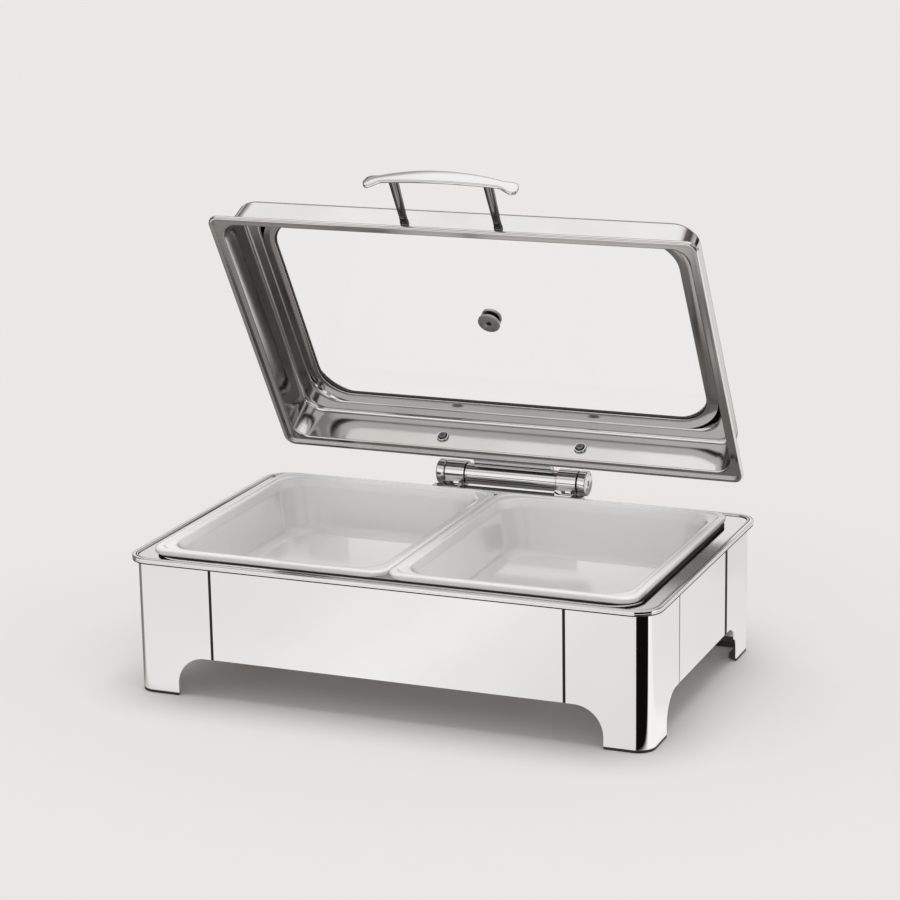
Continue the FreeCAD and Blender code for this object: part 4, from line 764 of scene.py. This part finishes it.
# Bolts and nuts that hold the hinge plates through the rear apron
def makeHingeFasteners():
    for node, name, sides, edge, extra, height, shank, turn in (
            ("hinge_bolts", "hingeBolts", 40, "boltHead", 0.0, "boltHeight", "boltShank", -90),
            ("hinge_nuts", "hingeNuts", 6, "nutRadius", 0.4, "nutHeight", "nutShank", 90)):
        edge, height, shank = (hingeParts[key] for key in (edge, height, shank))
        low, high = boxOf(node)
        far, near = high.x - edge, hingeParts["innerAt"]
        seat = high.y - height if turn < 0 else low.y + height
        points = [(across, seat, (low.z + high.z) / 2) for across in (-far, -near, near, far)]
        obj = runTree(name, fastenerTree, points, "screwSteel", 35, {
            "Head Sides": sides, "Head Radius": (edge + extra) * mm, "Head Height": height * mm,
            "Socket Radius": hingeParts["socket"] * mm, "Socket Depth": hingeParts["socketDepth"] * mm,
            "Shank Radius": hingeParts["shank"] * mm, "Shank Length": shank * mm,
            "Turn": (math.radians(turn), 0.0, 0.0)})
        addBevel(obj, 0.3)
        fit(applyModifiers(obj), "screwSteel", node)


def makeSprings():
    play = hingeParts["springPlay"]
    for side in ("left", "right"):
        low, high = boxOf(f"lift_spring_{side}")
        place = Matrix.Translation(Vector((low.x + play, (low.y + high.y) / 2, (low.z + high.z) / 2)) * mm)
        obj = runTree(f"liftSpring_{side}", springTree, [(0.0, 0.0, 0.0)], "springSteelAndScrewShade", 60, {
            "Turns": hingeParts["coils"], "Coil Radius": hingeParts["coilRadius"] * mm,
            "Length": (high.x - low.x - 2 * play) * mm, "Wire Radius": hingeParts["wire"] * mm},
            place @ Matrix.Rotation(math.radians(90), 4, "Y"))
        fit(obj, "springSteelAndScrewShade", f"lift_spring_{side}")


makeHinge()
makeHingeFasteners()
makeSprings()
print("hinge made")

# Lid, drawn closed. Heights are above the underside of its flange.
lid = {
    "halfX": 273.0, "halfY": 172.5, "y": -0.5, "base": 157.1,
    "flangeCorner": 13.0, "wallCorner": 22.0, "bendCorner": 26.0, "shoulderCorner": 30.0,
    "ringCorner": 44.0, "windowCorner": 52.0,
    "bead": 5.0, "flange": 3.0, "sheet": 1.0,
    "wallInset": 11.5, "wallLean": 1.5, "shoulderHeight": 47.0, "bend": 5.6, "shoulder": 15.6,
    "riserLean": 1.8, "riserHeight": 6.6, "ringWidth": 9.5,
}
lidPlan = {"halfX": lid["halfX"], "halfY": lid["halfY"], "x": 0.0, "y": lid["y"]}


def makeLidShell():
    sheet, bead, flange, wall, bend, shoulder = (
        lid[key] for key in ("sheet", "bead", "flange", "wallInset", "bend", "shoulderHeight"))
    edgeCorner, wallCorner, bendCorner, riserCorner, ringCorner, windowCorner = (
        lid[key + "Corner"] for key in ("flange", "wall", "bend", "shoulder", "ring", "window"))
    lean = wall + lid["wallLean"]
    riser = lean + lid["shoulder"]
    ring = riser + lid["riserLean"]
    window, rise, shelf = ring + lid["ringWidth"], shoulder + 0.5, flange + sheet
    crown, beadCorner = rise + lid["riserHeight"], edgeCorner - bead
    keys = [
        (bead, 0.1, beadCorner, 0.5), (0.0, 0.0, edgeCorner, 2.1), (0.0, bead, edgeCorner, 2.1),
        (bead, bead, beadCorner, 1.0), (bead + 0.3, shelf, beadCorner, 0.3), (wall, shelf, wallCorner, 1.6),
        (lean, shoulder, bendCorner, bend), (riser, rise, riserCorner, 2.0), (ring, crown, ringCorner, 1.8),
        (window, crown, windowCorner, 0.45), (window, crown - sheet, windowCorner, 0.45),
        (ring + 0.8, crown - sheet, ringCorner, 1.0), (riser + 0.8, rise - sheet, riserCorner, 2.6),
        (lean + sheet, shoulder - sheet, bendCorner - sheet, bend - sheet),
        (wall + sheet, flange, wallCorner - sheet, 1.6), (bead, flange, beadCorner, 0.3),
    ]
    keys = [(inset, height + lid["base"], radius, fillet) for inset, height, radius, fillet in keys]
    rings = sectionRings(lidPlan, keys, closed=True, steps=18)
    fit(stitch("lidShell", rings, True, lidOpen, sharp=70), "lidSteel", "lid_shell")


makeLidShell()


# Strips round the pane: insets of their two sides, heights of their two faces, and corner radius
windowStrips = {"glassSeal": (31.7, 43.6, 47.9, 53.0, 43.0), "glassFrame": (30.2, 43.0, 46.6, 47.9, 42.2)}


def makeWindow():
    refine("windowPane", "window_glass", "windowGlass", 0.4, 2, 40)
    for name, node, finish in (("glassSeal", "glass_gasket", "gasketSilicone"),
                               ("glassFrame", "glass_retainer", "lidSteel")):
        outer, inner, low, high, corner = windowStrips[name]
        middle = (outer + inner) / 2
        place = lidOpen @ Matrix.Translation(Vector((0.0, lid["y"], lid["base"] + (low + high) / 2)) * mm)
        obj = runTree(name, stripTree, [(0.0, 0.0, 0.0)], finish, 50, {
            "Length": 2 * (lid["halfX"] - middle) * mm, "Depth": 2 * (lid["halfY"] - middle) * mm,
            "Corner": corner * mm, "Strip Width": (inner - outer) * mm, "Strip Height": (high - low) * mm,
            "Edge Round": 0.4 * mm}, place)
        fit(obj, finish, node)
        obj.visible_glossy = name != "glassSeal"


keyHole = {"inner": 2.2, "outer": 2.7, "proud": 0.12, "deep": 0.6}


# The vent plug through the pane
def makeVent():
    refine("ventPlug", "vent_plug", "plugSteel", 0.3, 2, 40)
    refine("ventNut", "vent_nut", "plugSteel", 0.5, 3, 40)
    for side in ("inner", "outer"):
        refine(f"ventSeal_{side}", f"vent_seal_{side}", "gasketSilicone", 0.2, 2, 40)
    # The key hole in the plug's inner face is a black insert with six sides: a painted shade for the hollow of the
    # hole
    closed = lidOpen.inverted()
    plug = [closed @ vertex.co / mm for vertex in frame["nodes"]["vent_plug"].data.vertices]
    lowest = min(point.z for point in plug)
    face = [point for point in plug if point.z < lowest + 0.2]
    middle = sum(face, Vector()) / len(face)
    inner, outer, proud, deep = (keyHole[key] for key in ("inner", "outer", "proud", "deep"))
    angles = [math.radians(60 * turn) for turn in range(6)]
    rings = [[(middle.x + radius * math.cos(angle), middle.y + radius * math.sin(angle), lowest + height)
              for angle in angles]
             for radius, height in ((inner, -proud), (outer, -proud), (outer, deep), (inner, deep))]
    dress(stitch("ventKeyHole", rings, False, lidOpen, sharp=30), "paintedShadeBlack", "lid")


handle = {
    "halfLength": 85.3, "front": -226.0, "bow": 10.0, "height": 23.6, "thickness": 4.0, "edge": 1.6,
    "midHalf": 8.8, "neckHalf": 5.3, "neckAt": 66.0, "lobeHalf": 8.4, "lobeAt": 79.0, "crown": 0.35,
    "droop": 2.2, "droopOver": 18.0, "slices": 90, "postAt": 52.5, "postHeight": 21.5, "postLength": 58.6,
    "baseRadius": 4.7, "neckRadius": 4.2, "topRadius": 5.3, "groove": 0.5, "grooveAt": 9.0,
    # The lid's front wall, from its flange up to the bend into its shoulder
    "wallStart": 4.0, "wallRise": 39.4,
}


def smooth(share):
    share = min(max(share, 0.0), 1.0)
    return share * share * (3 - 2 * share)


# Half the width of the strap, which narrows to a neck and widens into a rounded tail
def gripHalf(away):
    middle, neck, neckAt, lobe, lobeAt = (
        handle[key] for key in ("midHalf", "neckHalf", "neckAt", "lobeHalf", "lobeAt"))
    if away < neckAt:
        return middle - (middle - neck) * (away / neckAt) ** 2
    half = neck + (lobe - neck) * smooth((away - neckAt) / (lobeAt - neckAt))
    if away <= lobeAt:
        return half
    rest = (away - lobeAt) / (handle["halfLength"] - lobeAt)
    return half * math.sqrt(max(1 - rest ** 2.6, 0.0))


# The grip is a bowed strap with soft edges, made of slices that crowd towards both ends, where its outline
# turns fast
def makeGrip():
    arc = (handle["halfLength"] ** 2 + handle["bow"] ** 2) / (2 * handle["bow"])
    half, count = handle["thickness"] / 2, handle["slices"]
    front, height = handle["front"] + half, lid["base"] + handle["height"]
    rings = []
    for index in range(count + 1):
        across = -handle["halfLength"] * math.cos(math.pi * index / count) * 0.9995
        away, turn = abs(across), math.asin(across / arc)
        sag = arc - math.sqrt(arc * arc - across * across)
        width = max(gripHalf(away), 0.15)
        lower = handle["droop"] * smooth((away - handle["neckAt"] + 4) / handle["droopOver"])
        thick = min(half, width)
        plan = {"halfX": width, "halfY": thick, "x": 0.0, "y": 0.0}
        ring = []
        for point in planRing(plan, 0.0, 0.0, min(handle["edge"], thick * 0.95), 5):
            lift, depth = point[:2]
            if depth < 0:
                depth -= handle["crown"] * (1 - (lift / width) ** 2)
            ring.append((across - depth * math.sin(turn), front + sag + depth * math.cos(turn),
                         height - lower + lift))
        rings.append(ring)
    return stitch("handleGrip", rings, False, lidOpen, sharp=60)


# A turned post stands square on the sloping front wall
def makePost(side, name):
    rise, sides, steps = handle["wallRise"], 40, 12
    slope = math.atan2(lid["wallLean"], rise)
    height = handle["postHeight"]
    inset = lid["wallInset"] + lid["wallLean"] * (height - handle["wallStart"]) / rise
    point = Vector((side * handle["postAt"], lid["y"] - lid["halfY"] + inset, lid["base"] + height))
    axis = Vector((0.0, -math.cos(slope), math.sin(slope)))
    up = Vector((0.0, math.sin(slope), math.cos(slope)))
    base, neck, top, groove, at = (
        handle[key] for key in ("baseRadius", "neckRadius", "topRadius", "groove", "grooveAt"))
    profile = [(0.0, base), (1.1, base), (1.5, base - 0.5), (2.1, neck + 0.5), (3.2, neck), (at - 0.2, neck),
               (at, neck - 0.1), (at + 0.2, neck - groove), (at + 0.7, neck - groove), (at + 0.9, neck - 0.1),
               (at + 1.1, neck + 0.02)]
    for step in range(1, steps + 1):
        share = step / steps
        profile.append((at + 1.1 + (handle["postLength"] - at - 1.1) * share, neck + (top - neck) * share))
    angles = [2 * math.pi * turn / sides for turn in range(sides)]
    rings = [[point + axis * reach + radius * (math.cos(angle) * Vector((1, 0, 0)) + math.sin(angle) * up)
              for angle in angles] for reach, radius in profile]
    return stitch(name, rings, False, lidOpen, sharp=50)


def makeHandle():
    fit(makeGrip(), "mirrorSteel", "handle_grip")
    for side, sign in (("left", -1), ("right", 1)):
        fit(makePost(sign, f"handlePost_{side}"), "postChromePaintedShade", f"handle_post_{side}")
    refine("handleScrews", "handle_screws", "screwSteel", 0.3, 2, 40)


def makeLidScrews():
    refine("cupWashers", "cup_washers", "hingeChrome", 0.25, 2, 40)
    # The lid screws are dark: a painted shade for the recess round each head in its cup washer
    refine("lidScrews", "lid_screws", "springSteelAndScrewShade", 0.2, 2, 40)


makeWindow()
makeVent()
makeHandle()
makeLidScrews()
print("lid made")

# Nodes inside the hinge keep their shapes
for innerNode in ("hinge_axle", "damper_rotor", "hinge_bush_left", "hinge_bush_right"):
    innerFinish = "screwSteel" if innerNode == "hinge_axle" else "bearingPlastic"
    innerMesh = frame["nodes"][innerNode].data
    innerMesh.materials.clear()
    innerMesh.materials.append(finishes[innerFinish])

# Studio. What metal reflects is drawn for glossy rays alone: a pale floor with dark cards on it, and above
# it soft boxes that run from left to right, with narrow dark gaps between them.
studio = {
    "background": (0.824, 0.804, 0.793), "glassLift": (1.025, 1.048, 1.055), "floorSize": 30.0,
    "worldLight": (0.541, 0.53, 0.515), "sunLight": 1.5, "sunSpread": 42.0, "sunTilt": -5.0,
    # Reflections are warmer where they are dark
    "darkTint": (1.10, 1.0, 0.92), "paleTint": (1.003, 1.003, 0.998),
    # Each further bounce between pieces of metal is dimmed
    "bounceFade": 0.54,
    # Levels of the floor in front of the dish, to its right and under it, where the dark under it is a painted
    # shadow of the dish: axis, reach in metres, and stops
    "floor": {
        "front": ("x", -0.5, 0.3, ((0.0, 0.79), (0.19, 0.815), (0.31, 0.83), (0.44, 0.875), (0.55, 0.915),
                                   (0.68, 0.845), (0.81, 0.80), (1.0, 0.76))),
        "right": ("y", -0.2, 0.7, ((0.0, 0.98), (0.12, 0.95), (0.2, 0.83), (0.42, 0.795), (0.62, 0.785),
                                   (0.74, 0.735), (1.0, 0.70))),
        "under": ("y", -0.2, 1.1, ((0.0, 0.42), (0.12, 0.42), (0.2, 0.12), (0.45, 0.12), (0.62, 0.28),
                                   (1.0, 0.28))),
    },
    # Where the floor to the right begins along x, and how softly
    "rightFrom": (0.285, 0.02),
    # Dark cards on the floor, each over those before it: its level (none stands for the ramp under the dish, a
    # painted shadow of the dish in what metal mirrors), and for each of its edges the axis, place and softness in
    # metres, and its share before and after it
    "cards": {
        "beside": (0.2, ("y", -0.17, 0.06, 0.0, 1.0), ("x", -0.18, 0.12, 1.0, 0.0)),
        "farLeft": (0.01, ("x", -1.1, 0.7, 1.0, 0.0)),
        "nearEdge": (0.06, ("y", -1.3, 0.5, 1.0, 0.0)),
        "behind": (0.05, ("y", 0.95, 0.2, 0.0, 1.0), ("x", 0.42, 0.15, 1.0, 0.0)),
        "under": (None, ("distance", 0.26, 0.04, 1.0, 0.0), ("y", -0.16, 0.03, 0.0, 1.0),
                  ("y", 1.1, 0.2, 1.0, 0.0)),
    },
    # Shares of half a turn, from the horizon behind the dish over its top to the horizon in front of it
    "boxes": ((0.0, 0.03), (0.062, 0.05), (0.078, 0.84), (0.10, 0.86), (0.12, 0.62), (0.14, 0.50),
              (0.17, 0.50), (0.20, 0.16), (0.235, 0.10), (0.26, 0.16), (0.29, 0.45), (0.32, 0.36),
              (0.345, 0.56), (0.365, 0.84), (0.38, 0.94), (0.49, 0.92), (0.53, 0.80), (0.57, 0.25),
              (0.62, 0.30), (0.68, 0.60), (0.72, 0.72), (0.77, 0.48), (0.81, 0.60), (0.85, 0.94),
              (1.0, 0.92)),
    # The same for what is mirrored through the lid's glass
    "boxesThroughGlass": ((0.0, 0.6), (0.42, 0.66), (0.45, 0.92), (0.49, 0.90), (0.52, 0.60), (0.57, 0.5),
                          (0.63, 0.42), (0.72, 0.38), (0.78, 0.5), (1.0, 0.6)),
    "sidesThroughGlass": ((0.0, 0.6), (0.30, 0.62), (0.335, 1.0), (1.0, 1.0)),
    # Shares from the far left to the far right
    "sides": ((0.0, 0.12), (0.09, 0.14), (0.16, 0.9), (0.30, 1.0), (0.70, 1.0), (0.74, 0.2), (0.78, 0.25),
              (0.82, 0.95), (0.92, 0.8), (1.0, 0.3)),
}


def rampNode(value, stops):
    node = addNode(value.id_data, "ShaderNodeValToRGB", {0: value})
    ramp = node.color_ramp
    ramp.interpolation = "EASE"
    while len(ramp.elements) < len(stops):
        ramp.elements.new(0.5)
    for element, (place, level) in zip(ramp.elements, stops):
        element.position = place
        element.color = (level, level, level, 1.0)
    return node.outputs["Color"]


def softStep(value, edge, width, low=0.0, high=1.0):
    return spread(value, low, high, edge - width / 2, edge + width / 2, interpolation_type="SMOOTHSTEP")


# 1 on the left of a line over the floor, looking along its heading
def sideOfLine(place, point, heading, width):
    angle = math.radians(heading)
    away = vectorMaths("SUBTRACT", place, (*point, 0.0))
    left = vectorMaths("DOT_PRODUCT", away, (-math.sin(angle), math.cos(angle), 0.0))
    return softStep(left, 0.0, width)


# The corner that faces the camera is R 18.5 mm, and its mirror shows the wedge of floor between two lines
cornerCard = {"centre": (264.5, -164.5), "radius": 18.5, "arcs": (11.5, 50.5), "softness": (0.003, 0.02),
              "viewHeading": 108.5, "level": 0.004}


# Warms a level that is reflected, and dims it by the bounces behind it
def reflected(level, fade):
    tint = mixColour(level, studio["darkTint"], studio["paleTint"])
    return scaled(tint, product(level, fade))


# A level at each place on the floor, for reflections alone
def floorLook(tree, fade):
    place = addNode(tree, "ShaderNodeTexCoord").outputs["Object"]
    split = addNode(tree, "ShaderNodeSeparateXYZ", {0: place}).outputs
    axes = {"x": split["X"], "y": split["Y"], "distance": maths("ABSOLUTE", split["X"])}
    ramps = {name: rampNode(spread(axes[axis], 0.0, 1.0, low, high), stops)
             for name, (axis, low, high, stops) in studio["floor"].items()}
    layers = [(softStep(axes["x"], *studio["rightFrom"]), ramps["right"])]
    for level, *edges in studio["cards"].values():
        masks = [softStep(axes[axis], edge, width, *ends) for axis, edge, width, *ends in edges]
        layers.append((product(*masks), ramps["under"] if level is None else level))
    wedge = []
    for arc, softness, turn in zip(cornerCard["arcs"], cornerCard["softness"], (0, 180)):
        angle = math.radians(arc)
        point = ((cornerCard["centre"][0] + cornerCard["radius"] * math.sin(angle)) * mm,
                 (cornerCard["centre"][1] - cornerCard["radius"] * math.cos(angle)) * mm)
        wedge.append(sideOfLine(place, point, 2 * arc - cornerCard["viewHeading"] + turn, softness))
    layers.append((product(*wedge), cornerCard["level"]))
    level = ramps["front"]
    for mask, above in layers:
        level = output(tree, "ShaderNodeMix", {0: mask, 2: level, 3: above})
    return reflected(level, fade)


# Whether a ray has left a mirror, how far its bounces dim it, and Light Path's own outputs
def inMirror(tree):
    path = addNode(tree, "ShaderNodeLightPath").outputs
    bounced = maths("GREATER_THAN", path["Glossy Depth"], 0.5)
    glossy = maths("SUBTRACT", path["Is Glossy Ray"], path["Is Transmission Ray"])
    extra = maths("MAXIMUM", maths("SUBTRACT", path["Glossy Depth"], 1.0), 0.0)
    return maths("MAXIMUM", glossy, bounced), maths("POWER", studio["bounceFade"], extra), path


def makeFloor():
    mesh = bpy.data.meshes.new("studioFloor")
    half = studio["floorSize"] / 2
    corners = [(-half, -half, 0), (half, -half, 0), (half, half, 0), (-half, half, 0)]
    mesh.from_pydata(corners, [], [(0, 1, 2, 3)])
    material, tree, shader, place = newMaterial("studioPaper", (0.8, 0.8, 0.8))
    mirrored, fade, path = inMirror(tree)
    darker = [part * 0.985 for part in studio["background"]]
    tint = mixColour(noise(place, 240.0, 3.0, 0.6), studio["background"], darker)
    lifted = vectorMaths("MULTIPLY", tint, studio["glassLift"])
    tree.links.new(mixColour(path["Is Transmission Ray"], tint, lifted), shader.inputs["Base Color"])
    setSockets(shader, Roughness=1.0, Specular_IOR_Level=0.0)
    card = output(tree, "ShaderNodeEmission", {"Color": floorLook(tree, fade), "Strength": 1.0})
    both = output(tree, "ShaderNodeMixShader", {0: mirrored, 1: shader.outputs[0], 2: card})
    tree.links.new(both, tree.nodes["Material Output"].inputs["Surface"])
    mesh.materials.append(material)
    newObject("studioFloor", mesh)


def makeWorld():
    world = bpy.data.worlds.new("studioWorld")
    world.use_nodes = True
    scene.world = world
    tree = world.node_tree
    tree.nodes.clear()
    mirrored, fade, path = inMirror(tree)
    throughGlass = path["Is Transmission Ray"]
    direct = maths("LESS_THAN", path["Diffuse Depth"], 0.5)
    seen = maths("MAXIMUM", path["Is Camera Ray"], product(throughGlass, direct))
    place = addNode(tree, "ShaderNodeTexCoord").outputs["Generated"]
    split = addNode(tree, "ShaderNodeSeparateXYZ", {0: place}).outputs
    overhead = maths("DIVIDE", maths("ARCTAN2", split["Z"], split["Y"]), math.pi)
    across = maths("MULTIPLY_ADD", split["X"], 0.5, 0.5)
    boxes, sides = (mixColour(throughGlass, rampNode(share, studio[name]),
                              rampNode(share, studio[name + "ThroughGlass"]))
                    for name, share in (("boxes", overhead), ("sides", across)))
    boxes = reflected(product(boxes, sides), fade)
    colour = mixColour(seen, studio["worldLight"], studio["background"])
    colour = mixColour(mirrored, colour, boxes)
    surface = addNode(tree, "ShaderNodeBackground", {"Color": colour, "Strength": 1.0})
    end = tree.nodes.new("ShaderNodeOutputWorld")
    tree.links.new(surface.outputs[0], end.inputs["Surface"])


def makeSun():
    data = bpy.data.lights.new("softSun", "SUN")
    data.energy = studio["sunLight"]
    data.angle = math.radians(studio["sunSpread"])
    sun = bpy.data.objects.new("softSun", data)
    scene.collection.objects.link(sun)
    sun.rotation_euler = (math.radians(studio["sunTilt"]), 0.0, 0.0)
    sun.visible_glossy = False
    sun.visible_transmission = False


# The camera stands to the front right of the dish and looks down on it
camera = {"x": 1063.14, "y": -2573.94, "z": 970.63, "yaw": -22.35, "pitch": -14.67, "roll": -0.99,
          "focalPixels": 2739.9, "framePixels": 900.0, "sensor": 36.0}


def makeCamera():
    data = bpy.data.cameras.new("photoCamera")
    data.sensor_width = camera["sensor"]
    data.lens = camera["focalPixels"] / camera["framePixels"] * camera["sensor"]
    yaw, pitch, roll = (math.radians(camera[key]) for key in ("yaw", "pitch", "roll"))
    forward = Vector((math.sin(yaw) * math.cos(pitch), math.cos(yaw) * math.cos(pitch), math.sin(pitch)))
    level = Vector((math.cos(yaw), -math.sin(yaw), 0.0))
    upright = level.cross(forward)
    right = math.cos(roll) * level + math.sin(roll) * upright
    up = -math.sin(roll) * level + math.cos(roll) * upright
    turn = Matrix((right, up, -forward)).transposed()
    place = Vector((camera["x"], camera["y"], camera["z"])) * mm
    obj = bpy.data.objects.new("photoCamera", data)
    obj.matrix_world = Matrix.Translation(place) @ turn.to_4x4()
    scene.collection.objects.link(obj)
    scene.camera = obj


makeFloor()
makeWorld()
makeSun()
makeCamera()
scene.view_settings.view_transform = "Standard"
print("studio made")
